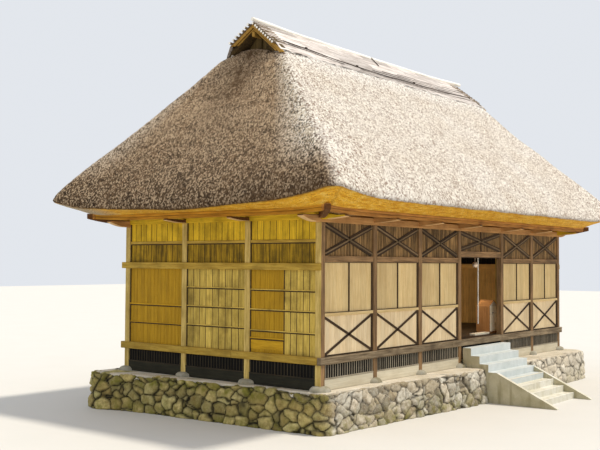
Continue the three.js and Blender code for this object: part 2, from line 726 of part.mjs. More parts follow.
function levelRing(halfX, halfY, radius, z) {
  return roundedRing(halfX, halfY, radius).map((place) => [place.x, place.y, z]);
}

// How high the lip rises towards the corners: late and evenly along the front and rear; on the sides all
// the way from their middle, with a flick at the end.
function lipRise({ frontShare, share }) {
  const alongFront = share * (HALF_X + LIP_OUT - LIP_RADIUS);
  const alongSide = share * (HALF_Y + LIP_OUT - LIP_RADIUS);
  const front = FRONT_RISE * Math.max(0, 1 - alongFront / FRONT_REACH) ** 3;
  const flick = SIDE_FLICK * Math.max(0, 1 - alongSide / SIDE_FLICK_REACH) ** 2;
  const side = SIDE_RISE * (1 - share) ** 1.4 + flick;
  return front * frontShare + side * (1 - frontShare);
}

// Ends at the gables lean back towards the middle of the roof as they rise.
function leaning(geometry) {
  const made = geometry.clone();
  const places = made.getAttribute("position");
  for (let i = 0; i < places.count; i++) {
    const x = places.getX(i);
    places.setX(i, x - Math.sign(x) * GABLE_LEAN * (places.getZ(i) - GABLE_FOOT));
  }
  return made;
}

function thatchOutside() {
  const cutRing = levelRing(HALF_X + CUT_OUT, HALF_Y + CUT_OUT, CUT_RADIUS, EAVE_BOTTOM);
  const lip = roundedRing(HALF_X + LIP_OUT, HALF_Y + LIP_OUT, LIP_RADIUS);
  const foot = roundedRing(GABLE_X, GABLE_HALF, GABLE_RADIUS);
  const slopes = SLOPE_PROFILE.map(([inwards, upwards]) => lip.map((place, i) => {
    const plain = LIP_SIDE + (LIP_FRONT - LIP_SIDE) * place.frontShare;
    return [
      place.x + (foot[i].x - place.x) * inwards,
      place.y + (foot[i].y - place.y) * inwards,
      plain + (GABLE_FOOT - plain) * upwards + lipRise(place) * (1 - upwards) ** 3,
    ];
  }));
  const section = [[-GABLE_HALF, GABLE_FOOT - OVERLAP], [GABLE_HALF, GABLE_FOOT - OVERLAP], [0, THATCH_PEAK]];
  const ridge = leaning(crossPrism(section, -GABLE_X, GABLE_X));
  return join([loft([cutRing, ...slopes]), ridge]);
}

const RECESS_X = 4260;
const RECESS_HALF = 660;
const RECESS_FOOT = 7850;
const RECESS_PEAK = 8430;

function recess(inset) {
  const half = RECESS_HALF - 3 * inset;
  return [[-half, RECESS_FOOT + inset], [half, RECESS_FOOT + inset], [0, RECESS_PEAK - inset]];
}

function atticSpace() {
  const body = loft([
    levelRing(HALF_X + SOFFIT_IN, HALF_Y + SOFFIT_IN, CUT_RADIUS, EAVE_BOTTOM - PAST),
    levelRing(HALF_X + SOFFIT_IN, HALF_Y + SOFFIT_IN, CUT_RADIUS, EAVE_BOTTOM),
    levelRing(ATTIC_X, ATTIC_HALF, GABLE_RADIUS / 2, ATTIC_SHOULDER),
  ]);
  const base = ATTIC_SHOULDER - OVERLAP;
  const peak = crossPrism([[-ATTIC_HALF, base], [ATTIC_HALF, base], [0, ATTIC_PEAK]], -ATTIC_X, ATTIC_X);
  const rightRecess = crossPrism(recess(0), RECESS_X, GABLE_X + PAST);
  return [body, peak, rightRecess, rightRecess.clone().rotateZ(Math.PI)];
}

// The four slopes meet on the hips, which run straight in plan from the eave's corners to the gables' feet.
// The end slopes are notched at the top for the feet of the bargeboards.
const BARGE_THICK = 48;
const BARGE_FOOT_Y = 1010;
const BARGE_FOOT_Z = 7768;
const BARGE_DEEP = 165;

function endSlopePlan(gap) {
  const beyond = 1.2;
  const cornerX = GABLE_X + (HALF_X + LIP_OUT - GABLE_X) * beyond;
  const cornerY = GABLE_HALF + (HALF_Y + LIP_OUT - GABLE_HALF) * beyond;
  const hip = (cornerX - GABLE_X) / (cornerY - GABLE_HALF);
  const innerX = GABLE_X - (GABLE_HALF - ATTIC_HALF) * hip;
  const front = [[ATTIC_X - PAST, ATTIC_HALF], [innerX, ATTIC_HALF], [cornerX, cornerY]];
  const half = front.map(([x, y]) => [x - gap, y + gap]);
  return [...half.map(([x, y]) => [x, -y]), ...half.reverse()];
}

function thatchSlopes() {
  const whole = cut(thatchOutside(), atticSpace());
  const below = EAVE_BOTTOM - PAST;
  const endPlan = planPrism(endSlopePlan(0), below, GABLE_FOOT);
  const clear = planPrism(endSlopePlan(2 * GAP), below, GABLE_FOOT + GAP);
  const bargeSeat = box(
    GABLE_X - GAP, GABLE_X + BARGE_THICK + 2 * GAP, -2 * GABLE_HALF, 2 * GABLE_HALF,
    BARGE_FOOT_Z - GAP, THATCH_PEAK,
  );
  const right = cut(common(whole, endPlan), [bargeSeat]);
  const rearHalf = box(-2 * HALF_X, 2 * HALF_X, -GAP / 2, 2 * HALF_Y, below, THATCH_PEAK + PAST);
  const front = cut(whole, [clear, clear.clone().rotateZ(Math.PI), rearHalf]);
  return { front, rear: front.clone().rotateZ(Math.PI), left: right.clone().rotateZ(Math.PI), right };
}

for (const [side, slope] of Object.entries(thatchSlopes())) addNode("thatch_" + side, slope, thatchStraw);

// Gables: a board wall set back in the opening, the end of the ridge pole, and a pair of bargeboards on the
// thatch's edge.
const GABLE_BOARD_THICK = 30;
const POLE_HALF = 40;
const POLE_BOTTOM = 8270;
const POLE_TOP = 8388;

function gable() {
  const slope = (THATCH_PEAK - BARGE_FOOT_Z) / BARGE_FOOT_Y;
  const innerFoot = BARGE_FOOT_Y - BARGE_DEEP / slope;
  const barge = [
    [-BARGE_FOOT_Y, BARGE_FOOT_Z], [-innerFoot, BARGE_FOOT_Z], [0, THATCH_PEAK - BARGE_DEEP],
    [innerFoot, BARGE_FOOT_Z], [BARGE_FOOT_Y, BARGE_FOOT_Z], [0, THATCH_PEAK],
  ];
  const outside = GABLE_X + 2 * GAP;
  const poleEnd = outside - GABLE_LEAN * (POLE_BOTTOM - GABLE_FOOT);
  return join([
    crossPrism(recess(2 * GAP), RECESS_X + GAP, RECESS_X + GABLE_BOARD_THICK),
    box(RECESS_X + GABLE_BOARD_THICK - OVERLAP, poleEnd, -POLE_HALF, POLE_HALF, POLE_BOTTOM, POLE_TOP),
    leaning(crossPrism(barge, outside, outside + BARGE_THICK)),
  ]);
}

addNode("right_gable", gable(), gableWood);
addNode("left_gable", gable().rotateZ(Math.PI), gableWood);

// Ridge cover: sheets of bark folded over the peak, held down by a pole along the fold that sags a little
// between its ends and runs past both gables.
const COVER_HALF = 920;
const COVER_THICK = 40;
const COVER_END = 4770;
const RIDGE_POLE_RADIUS = 45;
const RIDGE_POLE_SIDES = 12;
const RIDGE_POLE_LINE = [[-4740, 8658], [-2900, 8618], [0, 8608], [2900, 8612], [4940, 8662]];

function ridgePole() {
  return loft(RIDGE_POLE_LINE.map(([x, z]) => {
    const ring = [];
    for (let i = 0; i < RIDGE_POLE_SIDES; i++) {
      const angle = (i / RIDGE_POLE_SIDES) * 2 * Math.PI;
      ring.push([x, RIDGE_POLE_RADIUS * Math.cos(angle), z + RIDGE_POLE_RADIUS * Math.sin(angle)]);
    }
    return ring;
  }));
}

function ridgeCover() {
  const slope = (THATCH_PEAK - GABLE_FOOT) / GABLE_HALF;
  const foot = THATCH_PEAK - slope * COVER_HALF + GAP * 2;
  const under = THATCH_PEAK + GAP * 2;
  const section = [
    [-COVER_HALF, foot], [0, under], [COVER_HALF, foot],
    [COVER_HALF, foot + COVER_THICK], [0, under + COVER_THICK], [-COVER_HALF, foot + COVER_THICK],
  ];
  const sheets = solid(leaning(crossPrism(section, -COVER_END, COVER_END)));
  const hollow = solid(leaning(crossPrism([section[0], section[1], section[2]], -COVER_END, COVER_END)));
  return geometryOf(sheets.add(solid(ridgePole()).subtract(hollow)));
}

addNode("ridge_cover", ridgeCover(), ridgeBark);

// Bell on the door head's cleat, and its rope, which hangs free beside it.
const BELL_RADIUS = 75;
const BELL_CENTRE = 3215;
const STEM_RADIUS = 9;
const BELL_STEPS = 8;
const ROPE_RADIUS = 18;
const ROPE_END = 1730;
const ROPE_SIDES = 8;
const ROPE_STEPS = 24;
const bellY = -HALF_Y + BELL_IN;

function bell() {
  const profile = [];
  const stemAngle = Math.asin(STEM_RADIUS / BELL_RADIUS);
  for (let i = 0; i <= BELL_STEPS; i++) {
    const angle = (i / BELL_STEPS) * (Math.PI - stemAngle);
    const radius = BELL_RADIUS * Math.sin(angle);
    profile.push(new THREE.Vector2(radius, BELL_CENTRE - BELL_RADIUS * Math.cos(angle)));
  }
  profile.push(new THREE.Vector2(STEM_RADIUS, CLEAT_BOTTOM - GAP), new THREE.Vector2(0, CLEAT_BOTTOM - GAP));
  return new THREE.LatheGeometry(profile, 16).rotateX(Math.PI / 2).translate(BELL_X, bellY, 0);
}

function bellRope() {
  const top = new THREE.Vector3(ROPE_X, bellY, CLEAT_BOTTOM - GAP);
  const end = new THREE.Vector3(ROPE_X, bellY, ROPE_END);
  const section = new THREE.Shape();
  section.absarc(0, 0, ROPE_RADIUS, 0, 2 * Math.PI);
  const path = new THREE.LineCurve3(top, end);
  return new THREE.ExtrudeGeometry(section, {
    steps: ROPE_STEPS, curveSegments: ROPE_SIDES / 2, bevelEnabled: false, extrudePath: path,
  });
}

addNode("bell", bell(), bellBrass);
addNode("bell_rope", bellRope(), ropeCotton);

// Offering box with a gabled lid, inside the doorway on the right, and the low board beside it.
const BOX_LEFT = 1950;
const BOX_RIGHT = 2450;
const BOX_FRONT = -HALF_Y + 250;
const BOX_REAR = -HALF_Y + 630;
const BOX_SHOULDER = 2140;
const BOX_PEAK = 2300;
const LOW_BOARD_LEFT = 1150;
const LOW_BOARD_REAR = -HALF_Y + 400;
const LOW_BOARD_TOP = 1482;

function offeringBox() {
  const foot = FLOOR_TOP + GAP;
  const outline = [
    [BOX_LEFT, foot], [BOX_RIGHT, foot], [BOX_RIGHT, BOX_SHOULDER],
    [(BOX_LEFT + BOX_RIGHT) / 2, BOX_PEAK], [BOX_LEFT, BOX_SHOULDER],
  ];
  const lowBoard = box(LOW_BOARD_LEFT, BOX_LEFT + 1, BOX_FRONT, LOW_BOARD_REAR, foot, LOW_BOARD_TOP);
  return join([facePrism(outline, BOX_FRONT, BOX_REAR), lowBoard]);
}

addNode("offering_box", offeringBox(), boxWood);

export default hall;
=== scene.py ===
# A village shrine's worship hall: a timber hall on a rubble plinth, under a hipped roof of straw thatch.
# Metres, +Z up; the front with its doorway faces -Y, and Z = 0 is the lowest ground.
import math
import random

import bmesh
import bpy
from mathutils import Matrix, Vector, noise


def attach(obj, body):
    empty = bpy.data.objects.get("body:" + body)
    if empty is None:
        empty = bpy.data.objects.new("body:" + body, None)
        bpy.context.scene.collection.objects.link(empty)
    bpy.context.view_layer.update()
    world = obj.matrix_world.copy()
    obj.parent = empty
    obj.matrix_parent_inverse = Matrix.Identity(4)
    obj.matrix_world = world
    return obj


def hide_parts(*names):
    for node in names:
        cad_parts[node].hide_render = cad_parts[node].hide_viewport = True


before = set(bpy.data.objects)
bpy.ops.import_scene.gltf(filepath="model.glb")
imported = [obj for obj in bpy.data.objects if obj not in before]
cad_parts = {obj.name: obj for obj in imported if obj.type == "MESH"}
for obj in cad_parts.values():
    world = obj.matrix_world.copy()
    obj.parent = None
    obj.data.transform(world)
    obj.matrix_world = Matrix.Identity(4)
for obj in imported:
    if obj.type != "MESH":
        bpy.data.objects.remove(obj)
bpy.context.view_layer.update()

# Viewpoint: the photograph's, from the left of the forecourt and level with the middle of the walls.
CAMERA_AT = Vector((-19.836, -13.365, 3.238))
HEADING, PITCH, ROLL = 0.9039, 0.0413, 0.0058
LENS, SENSOR_WIDTH, SIGHT_END = 55.06, 36, 400

scene = bpy.context.scene
ahead = Vector((math.sin(HEADING) * math.cos(PITCH), math.cos(HEADING) * math.cos(PITCH), math.sin(PITCH)))
level_right = Vector((math.cos(HEADING), -math.sin(HEADING), 0))
level_up = level_right.cross(ahead)
right = level_right * math.cos(ROLL) + level_up * math.sin(ROLL)
up = level_up * math.cos(ROLL) - level_right * math.sin(ROLL)
camera_data = bpy.data.cameras.new("viewpoint")
camera_data.lens, camera_data.sensor_width, camera_data.clip_end = LENS, SENSOR_WIDTH, SIGHT_END
camera = bpy.data.objects.new("viewpoint", camera_data)
camera.matrix_world = Matrix.Translation(CAMERA_AT) @ Matrix((right, up, -ahead)).transposed().to_4x4()
scene.collection.objects.link(camera)
scene.camera = camera

# Studio: a pale floor, an even pale sky, and one large soft lamp high up in front of the hall and to its
# right, as the sun stood. A small lamp behind the door head lights the room as the forecourt does.
scene.view_settings.view_transform = "Standard"
SKY_STRENGTH, KEY_STRENGTH, ROOM_STRENGTH = 0.95, 2.9, 55
KEY_TOWARDS, ROOM_TOWARDS, ROOM_LAMP_AT = (-0.28, 0.34, -0.84), (0.25, 1.0, -0.45), (1.2, -2.0, 3.35)
FLOOR_HALF = 90


def shade(red, green, blue):
    """A colour as it looks on screen, 0 to 255, as the shader takes it."""
    return tuple((c / 255 / 12.92) if c < 11 else ((c / 255 + 0.055) / 1.055) ** 2.4
                 for c in (red, green, blue)) + (1.0,)


class Finish:
    """One material, and the nodes that make its colour, roughness and relief."""

    def __init__(self, name, roughness, metallic=0.0):
        self.material = bpy.data.materials.new(name)
        self.material.use_nodes = True
        self.tree = self.material.node_tree
        self.shader = self.tree.nodes["Principled BSDF"]
        self.shader.inputs["Roughness"].default_value = roughness
        self.shader.inputs["Metallic"].default_value = metallic
        self.shader.inputs["Specular IOR Level"].default_value = 0.25

    def feed(self, socket, value):
        if isinstance(value, bpy.types.NodeSocket):
            self.tree.links.new(value, socket)
        else:
            socket.default_value = value

    def node(self, kind, settings=None, **inputs):
        made = self.tree.nodes.new("ShaderNode" + kind)
        for name, value in (settings or {}).items():
            setattr(made, name, value)
        for name, value in inputs.items():
            self.feed(made.inputs[name], value)
        return made

    def place(self):
        return self.node("TexCoord").outputs["Object"]

    def marked(self, name, output="Fac"):
        return self.node("Attribute", {"attribute_name": name}).outputs[output]

    def reckoned(self, kind, how, first, second):
        made = self.node(kind, {"operation": how})
        self.feed(made.inputs[0], first)
        self.feed(made.inputs[1], second)
        return made.outputs[0]

    def stretched(self, vector, by):
        return self.reckoned("VectorMath", "MULTIPLY", vector, by)

    def plus(self, first, second):
        return self.reckoned("Math", "ADD", first, second)

    def times(self, first, second):
        return self.reckoned("Math", "MULTIPLY", first, second)

    def mottle(self, vector, scale, detail=3.0, roughness=0.55):
        return self.node("TexNoise", Vector=vector, Scale=scale, Detail=detail,
                         Roughness=roughness).outputs["Fac"]

    def curve(self, value, low, high, to_low=0.0, to_high=1.0):
        made = self.node("MapRange", {"clamp": True})
        for index, number in enumerate((value, low, high, to_low, to_high)):
            self.feed(made.inputs[index], number)
        return made.outputs["Result"]

    def blend(self, amount, first, second, how="MIX"):
        made = self.node("Mix", {"data_type": "RGBA", "blend_type": how}, Factor=amount, A=first, B=second)
        return made.outputs["Result"]

    def over(self, body, colour, value, low, high, most=1.0):
        """Another colour laid over the body where a value rises from low to high."""
        return self.blend(self.curve(value, low, high, 0.0, most), body, shade(*colour))

    def colour(self, value):
        self.feed(self.shader.inputs["Base Color"], value)

    def relief(self, height, depth, strength=1.0):
        made = self.node("Bump", Height=height, Distance=depth, Strength=strength)
        self.feed(self.shader.inputs["Normal"], made.outputs["Normal"])


def as_object(made, name, finishes):
    mesh = bpy.data.meshes.new(name)
    made.to_mesh(mesh)
    made.free()
    for finish in finishes:
        mesh.materials.append(finish.material)
    obj = bpy.data.objects.new(name, mesh)
    scene.collection.objects.link(obj)
    return obj


def ground():
    made = bmesh.new()
    bmesh.ops.create_grid(made, x_segments=1, y_segments=1, size=FLOOR_HALF)
    paint = Finish("studio_floor_paint", 0.9)
    paint.colour(paint.blend(paint.mottle(paint.place(), 0.7), shade(208, 206, 200), shade(214, 211, 206)))
    as_object(made, "studio_floor", [paint])


def lamp(name, kind, strength, colour, towards):
    light = bpy.data.lights.new(name, kind)
    light.energy, light.color = strength, shade(*colour)[:3]
    obj = bpy.data.objects.new(name, light)
    obj.rotation_euler = Vector(towards).to_track_quat("-Z", "Y").to_euler()
    scene.collection.objects.link(obj)
    return obj


ground()
sky = bpy.data.worlds.new("studio_sky")
sky.use_nodes = True
sky.node_tree.nodes["Background"].inputs["Color"].default_value = shade(232, 236, 242)
sky.node_tree.nodes["Background"].inputs["Strength"].default_value = SKY_STRENGTH
scene.world = sky
lamp("key_lamp", "SUN", KEY_STRENGTH, (255, 247, 232), KEY_TOWARDS).data.angle = math.radians(6)
room_lamp = lamp("inner_lamp", "AREA", ROOM_STRENGTH, (255, 244, 224), ROOM_TOWARDS)
room_lamp.data.size = 1.3
room_lamp.location = ROOM_LAMP_AT
room_lamp.visible_camera = False


# Rubble plinth: field stones laid dry, with dark open joints and moss in the shade. The facing leans in a
# little towards its top, where the stones turn over onto the filled bed.
HALF_X, HALF_Y = 5.6875, 2.73
DOOR_LEFT, DOOR_RIGHT = -0.2275, 2.0475
STAIR_LEFT, STAIR_RIGHT, STAIR_COVERED = DOOR_LEFT + 0.07, DOOR_RIGHT - 0.07, 0.64
PLINTH_TOP, BATTER, TURN_OVER, TURN_SOFT = 0.765, 0.07, 0.20, 0.05
STONE_LONG, STONE_HIGH, STONE_PROUD, JOINT_DEEP, JOINT_WIDE = 0.30, 0.22, 0.066, 0.047, 0.34
FACING_STEP, SEAM = 0.022, 0.002
SHADE_STARTS, SHADE_FULL = -5.75, -6.0
plinth_plan = [
    (-HALF_X - 0.22, -HALF_Y - 0.34), (-HALF_X + 0.70, -HALF_Y - 0.36), (-HALF_X + 2.30, -HALF_Y - 0.47),
    (-HALF_X + 4.70, -HALF_Y - 0.68), (DOOR_RIGHT + 0.20, -HALF_Y - 0.76),
    (HALF_X + 0.25, -HALF_Y - 0.70), (HALF_X + 0.50, -HALF_Y - 0.45), (HALF_X + 0.56, HALF_Y + 0.45),
    (HALF_X + 0.40, HALF_Y + 0.62), (-HALF_X - 0.66, HALF_Y + 0.50), (-HALF_X - 0.90, HALF_Y + 0.10),
    (-HALF_X - 0.75, HALF_Y - 0.30), (-HALF_X - 0.61, HALF_Y - 0.80), (-HALF_X - 0.54, HALF_Y - 1.40),
    (-HALF_X - 0.43, HALF_Y - 2.90), (-HALF_X - 0.35, -HALF_Y + 1.30), (-HALF_X - 0.27, -HALF_Y - 0.20),
]
plan_corners = [Vector((x, y, 0)) for x, y in plinth_plan]
plan_sides = list(zip(plan_corners, plan_corners[1:] + plan_corners[:1]))
plan_round = sum((b - a).length for a, b in plan_sides)


def plan_at(distance):
    distance %= plan_round
    for a, b in plan_sides:
        length = (b - a).length
        if distance <= length:
            return a.lerp(b, distance / length)
        distance -= length
    return plan_corners[0]


def eased_plan_at(distance, reach=0.09):
    """A place on the plan's outline with its corners rounded, and the way out from it."""
    places = [plan_at(distance + k * reach) for k in (-1, -0.5, 0, 0.5, 1)]
    along = (places[-1] - places[0]).normalized()
    return sum(places, Vector()) / len(places), Vector((along.y, -along.x, 0))


def piece(made, name, finishes, stands_for=()):
    """A finished mesh becomes a piece of the hall."""
    obj = as_object(made, name, finishes)
    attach(obj, "root")
    if stands_for:
        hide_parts(*stands_for)
    return obj


def outward(made):
    bmesh.ops.recalc_face_normals(made, faces=made.faces[:])


def smooth(made):
    for face in made.faces:
        face.smooth = True


def closed(made, rims=None):
    """Open rims filled in; all of them, or those given."""
    rims = [e for e in made.edges if e.is_boundary] if rims is None else rims
    return bmesh.ops.holes_fill(made, edges=rims, sides=0)["faces"]


def field_stone():
    """Warm and cool stones, veined, specked, with moss; on the left, painted shade, darker in the joints."""
    stone = Finish("field_stone", 0.92)
    place = stone.place()
    kind, joint = stone.marked("kind"), stone.marked("joint")
    across, _, height = stone.node("SeparateXYZ", Vector=place).outputs
    shaded = stone.curve(across, SHADE_STARTS, SHADE_FULL)
    warm = stone.blend(stone.curve(kind, 0.0, 0.5), shade(164, 150, 122), shade(222, 211, 190))
    cool = stone.blend(stone.curve(kind, 0.6, 1.0), shade(140, 132, 114), shade(228, 222, 206))
    body = stone.blend(stone.curve(kind, 0.48, 0.52), warm, cool)
    veins = stone.curve(stone.mottle(place, 9, 6, 0.7), 0.42, 0.66)
    body = stone.blend(veins, body, stone.blend(0.7, body, shade(112, 92, 60)))
    body = stone.over(body, (228, 222, 204), stone.mottle(place, 70, 2), 0.5, 0.7, 0.35)
    # On the left side, which lies in shade, the stones are tinted darker and warmer: painted shade.
    painted_shade_tint = stone.blend(1.0, body, shade(255, 244, 172), "MULTIPLY")
    body = stone.blend(stone.times(shaded, 0.9), body, painted_shade_tint)
    low = stone.curve(height, 0.05, 0.55, 0.75, 0.0)
    high = stone.times(stone.curve(height, 0.45, 0.62, 0.0, 0.9), shaded)
    moss = stone.times(stone.curve(stone.mottle(place, 5, 4, 0.6), 0.40, 0.62), stone.plus(low, high))
    body = stone.blend(moss, body, shade(118, 114, 40))
    # There the stones also darken towards their edges: painted shade.
    painted_edge_shade = stone.times(stone.curve(joint, 0.08, 0.75, 0.0, 0.75), shaded)
    body = stone.blend(painted_edge_shade, body, shade(40, 37, 20))
    body = stone.over(body, (236, 226, 208), across, 2.0, 2.5, 0.45)
    # The joints are dark everywhere, and darker still on the left side: painted shade.
    gap = stone.blend(shaded, shade(44, 36, 24), shade(14, 12, 7))
    stone.colour(stone.blend(stone.curve(joint, 0.46, 0.92), body, gap))
    stone.relief(stone.plus(stone.mottle(place, 22, 6, 0.65), stone.mottle(place, 110, 3)), 0.012)
    return stone


def rubble_facing():
    made = bmesh.new()
    joint = made.verts.layers.float.new("joint")
    kind = made.verts.layers.float.new("kind")
    columns = round(plan_round / FACING_STEP)
    wall = PLINTH_TOP + TURN_OVER
    bmesh.ops.create_grid(made, x_segments=columns, y_segments=round(wall / FACING_STEP), size=0.5)
    for vert in made.verts:
        along = (vert.co.x + 0.5) * plan_round
        height = (vert.co.y + 0.5) * wall
        place, out = eased_plan_at(along)
        rise = min(height / PLINTH_TOP, 1)
        over = max(height - PLINTH_TOP, 0)
        place = place + out * (BATTER * (1 - rise)) - out * over
        place.z = min(height, PLINTH_TOP)
        lean = min(max((height - PLINTH_TOP) / TURN_SOFT + 1, 0), 2) / 2
        facing = (out * (1 - lean) + Vector((0, 0, lean))).normalized()
        # Cells of stones over the unrolled wall; the first and last share the seam.
        turn = along / plan_round * math.tau
        unrolled = plan_round / math.tau / STONE_LONG
        cell = Vector((math.cos(turn) * unrolled, math.sin(turn) * unrolled, height / STONE_HIGH))
        cell += 0.20 * Vector([noise.noise(cell * 1.7 + Vector((k * 37.3, 0, 0))) for k in range(3)])
        gaps, centres = noise.voronoi(cell)
        edge = min((gaps[1] - gaps[0]) / JOINT_WIDE, 1)
        which = noise.cell(centres[0] * 7.31)
        proud = edge ** 0.35 * STONE_PROUD - JOINT_DEEP + 0.022 * (which - 0.5)
        proud += (0.016 * noise.noise(place * 9) + 0.010 * noise.noise(place * 23)) * edge
        vert.co = place + facing * proud
        if STAIR_LEFT - 0.01 < vert.co.x < STAIR_RIGHT + 0.01 and vert.co.y < 0:
            vert.co.z = min(vert.co.z, STAIR_COVERED)
        vert[joint] = 1 - edge ** 0.5
        vert[kind] = abs(which) % 1
    bmesh.ops.remove_doubles(made, verts=made.verts[:], dist=SEAM)
    rims = [e for e in made.edges if e.is_boundary]
    closed(made, [e for e in rims if e.verts[0].co.z < PLINTH_TOP / 2])
    closed(made, [e for e in rims if e.verts[0].co.z > PLINTH_TOP / 2])
    outward(made)
    smooth(made)
    return piece(made, "rubble_facing", [field_stone()], ["rubble_plinth"])


rubble_facing()


# Bed: packed fill finished level with pale lime and gravel, left open where the steps come up. Each post
# stands on a natural foot-stone that is let into it.
BED_INSET, BED_UNDER, BED_TOP, BED_EASE = 0.06, 0.66, 0.78, 0.025
STAIR_NOTCH, NOTCH_MOUTH, NOTCH_SPARE = 0.545, 0.64, 0.05
STONE_TOP = 0.875
posts_x = [-HALF_X + 1.82 * i for i in range(4)] + [HALF_X - 1.82 * i for i in (2, 1, 0)]
posts_y = [-HALF_Y + 1.82 * i for i in range(4)]


def lime_finish():
    lime = Finish("lime_and_gravel", 0.95)
    place = lime.place()
    body = lime.over(shade(222, 213, 196), (196, 185, 162), lime.mottle(place, 1.6, 4), 0.35, 0.7)
    body = lime.over(body, (150, 138, 116), lime.mottle(place, 60, 3, 0.7), 0.52, 0.68, 0.7)
    lime.colour(lime.over(body, (150, 140, 104), lime.mottle(place, 0.9, 2), 0.55, 0.7, 0.45))
    lime.relief(lime.mottle(place, 45, 5, 0.7), 0.012)
    return lime


def concrete_finish(name, pale, dark, stain, streaks=0.6):
    concrete = Finish(name, 0.88)
    place = concrete.place()
    body = concrete.over(shade(*pale), dark, concrete.mottle(place, 2.4, 5, 0.6), 0.35, 0.68)
    runs = concrete.mottle(concrete.stretched(place, (7, 7, 0.9)), 1, 4)
    body = concrete.over(body, stain, runs, 0.5, 0.75, streaks)
    pits = concrete.mottle(place, 120, 2)
    concrete.colour(concrete.over(body, [c * 0.7 for c in dark], pits, 0.60, 0.72, 0.5))
    concrete.relief(concrete.mottle(place, 40, 6, 0.65), 0.005)
    return concrete


def drawn_out(made, verts, by):
    """A flat outline drawn out into a solid; gives the vertices of its far side."""
    far = bmesh.ops.extrude_face_region(made, geom=[made.faces.new(verts)])["geom"]
    moved = [v for v in far if isinstance(v, bmesh.types.BMVert)]
    bmesh.ops.translate(made, verts=moved, vec=by)
    return moved


def soften(made, edges, ease, segments=1):
    """Arrises taken off; gives the vertices that come of it."""
    return bmesh.ops.bevel(made, geom=edges, offset=ease, segments=segments, profile=0.5, affect="EDGES",
                           material=-1)["verts"]


def bed():
    made = bmesh.new()
    rng = random.Random(5)
    edge = []
    for a, b in plan_sides:
        steps = max(2, round((b - a).length / 0.22))
        edge += [a.lerp(b, i / steps) for i in range(steps)]
    x0, x1 = STAIR_LEFT - 0.001, STAIR_RIGHT + 0.001
    mouth, head = -HALF_Y - NOTCH_MOUTH, -HALF_Y - STAIR_NOTCH
    ring, notched = [], False
    for place in edge:
        if STAIR_LEFT - NOTCH_SPARE < place.x < STAIR_RIGHT + NOTCH_SPARE and place.y < 0:
            if not notched:
                ring += [Vector((x, y, 0)) for x, y in ((x0, mouth), (x0, head), (x1, head), (x1, mouth))]
                notched = True
            continue
        inwards = Vector((-math.copysign(1, place.x), -math.copysign(1, place.y), 0))
        ring.append(place + inwards * (BED_INSET + rng.uniform(-0.035, 0.045)))
    outline = [made.verts.new((v.x, v.y, BED_UNDER)) for v in ring]
    lifted = drawn_out(made, outline, (0, 0, BED_TOP - BED_UNDER))
    rim = [e for e in made.edges if all(v in lifted for v in e.verts) and len(e.link_faces) == 2]
    soften(made, rim, BED_EASE, 3)
    outward(made)
    return piece(made, "plinth_fill", [lime_finish()], ["plinth_bed"])


def foot_stones():
    made = bmesh.new()
    joint = made.verts.layers.float.new("joint")
    kind = made.verts.layers.float.new("kind")
    rng = random.Random(11)
    places = [(x, y) for x in posts_x for y in (-HALF_Y, HALF_Y)]
    places += [(x, y) for x in (-HALF_X, HALF_X) for y in posts_y[1:-1]]
    for x, y in places:
        ball = bmesh.ops.create_icosphere(made, subdivisions=3, radius=1)["verts"]
        wide, deep = rng.uniform(0.19, 0.25), rng.uniform(0.19, 0.24)
        tint = rng.random()
        shift = Vector((rng.uniform(-20, 20), rng.uniform(-20, 20), 0))
        for vert in ball:
            flat = math.hypot(vert.co.x, vert.co.y)
            top = max(0.0, 1 - flat ** 3.6) ** 0.5
            swell = 1 + 0.14 * noise.noise(vert.co * 1.3 + shift)
            height = STONE_TOP - 0.10 + (0.11 * top if vert.co.z > 0 else -0.05)
            height += 0.008 * noise.noise(vert.co * 3 + shift)
            vert.co = Vector((x + vert.co.x * wide * swell, y + vert.co.y * deep * swell, height))
            vert[kind] = tint
            vert[joint] = 0
    smooth(made)
    foot_stone = concrete_finish("foot_stone", (172, 168, 156), (136, 128, 100), (104, 98, 66))
    return piece(made, "foot_stones", [foot_stone])


bed()
foot_stones()


# Steps: a newer upper flight of pale grey concrete against the doorway, and an older cream lower flight
# between two cheeks, all cast in place; the old treads have a thin white nosing, the left faces painted
# shade.
UPPER_TOP, UPPER_RISE, UPPER_START, UPPER_FIRST, UPPER_GOING = 1.240, 0.177, 0.1, 0.320, 0.225
LOWER_FOOT, LOWER_RISE, LOWER_GOING = 0.9953, 0.142, 0.2575
CHEEK, CHEEK_TOP, CHEEK_END, CHEEK_TOE = 0.11, 0.70, 2.44, 0.025
new_cement = concrete_finish("new_concrete_cast", (206, 211, 210), (189, 196, 194), (170, 174, 166), 0.25)
painted_shade_cement = concrete_finish("concrete_side_painted_shade", (198, 191, 163), (170, 162, 130), (138, 128, 92), 0.8)
old_cement = concrete_finish("old_concrete_cast", (222, 219, 208), (200, 194, 172), (156, 144, 110), 0.4)
white_edge = concrete_finish("white_nosing", (232, 230, 220), (214, 210, 194), (176, 168, 138))


def treads(start, first, going, top, rise):
    """Four treads and risers from the top down, as places (out from the front posts, height)."""
    outline, edge = [], start
    for i in range(4):
        outline.append((edge, top - i * rise))
        edge = first + i * going
        outline.append((edge, top - i * rise))
    return outline + [(edge, 0)]


def cast(made, profile, x0, x1, ease):
    """A side outline cast across the flight as one block."""
    verts = [made.verts.new((x0, -HALF_Y - out, z)) for out, z in profile]
    mine = set(verts + drawn_out(made, verts, (x1 - x0, 0, 0)))
    arrises = [e for e in made.edges if e.verts[0] in mine and min(v.co.z for v in e.verts) > 0.01]
    soften(made, arrises, ease, 2)
    outward(made)


# Faces turned to the left, away from the light, take the olive side concrete: painted shade.
def left_faces_painted_shade(made):
    made.normal_update()
    for face in made.faces:
        face.material_index = 1 if face.normal.x < -0.7 else 0


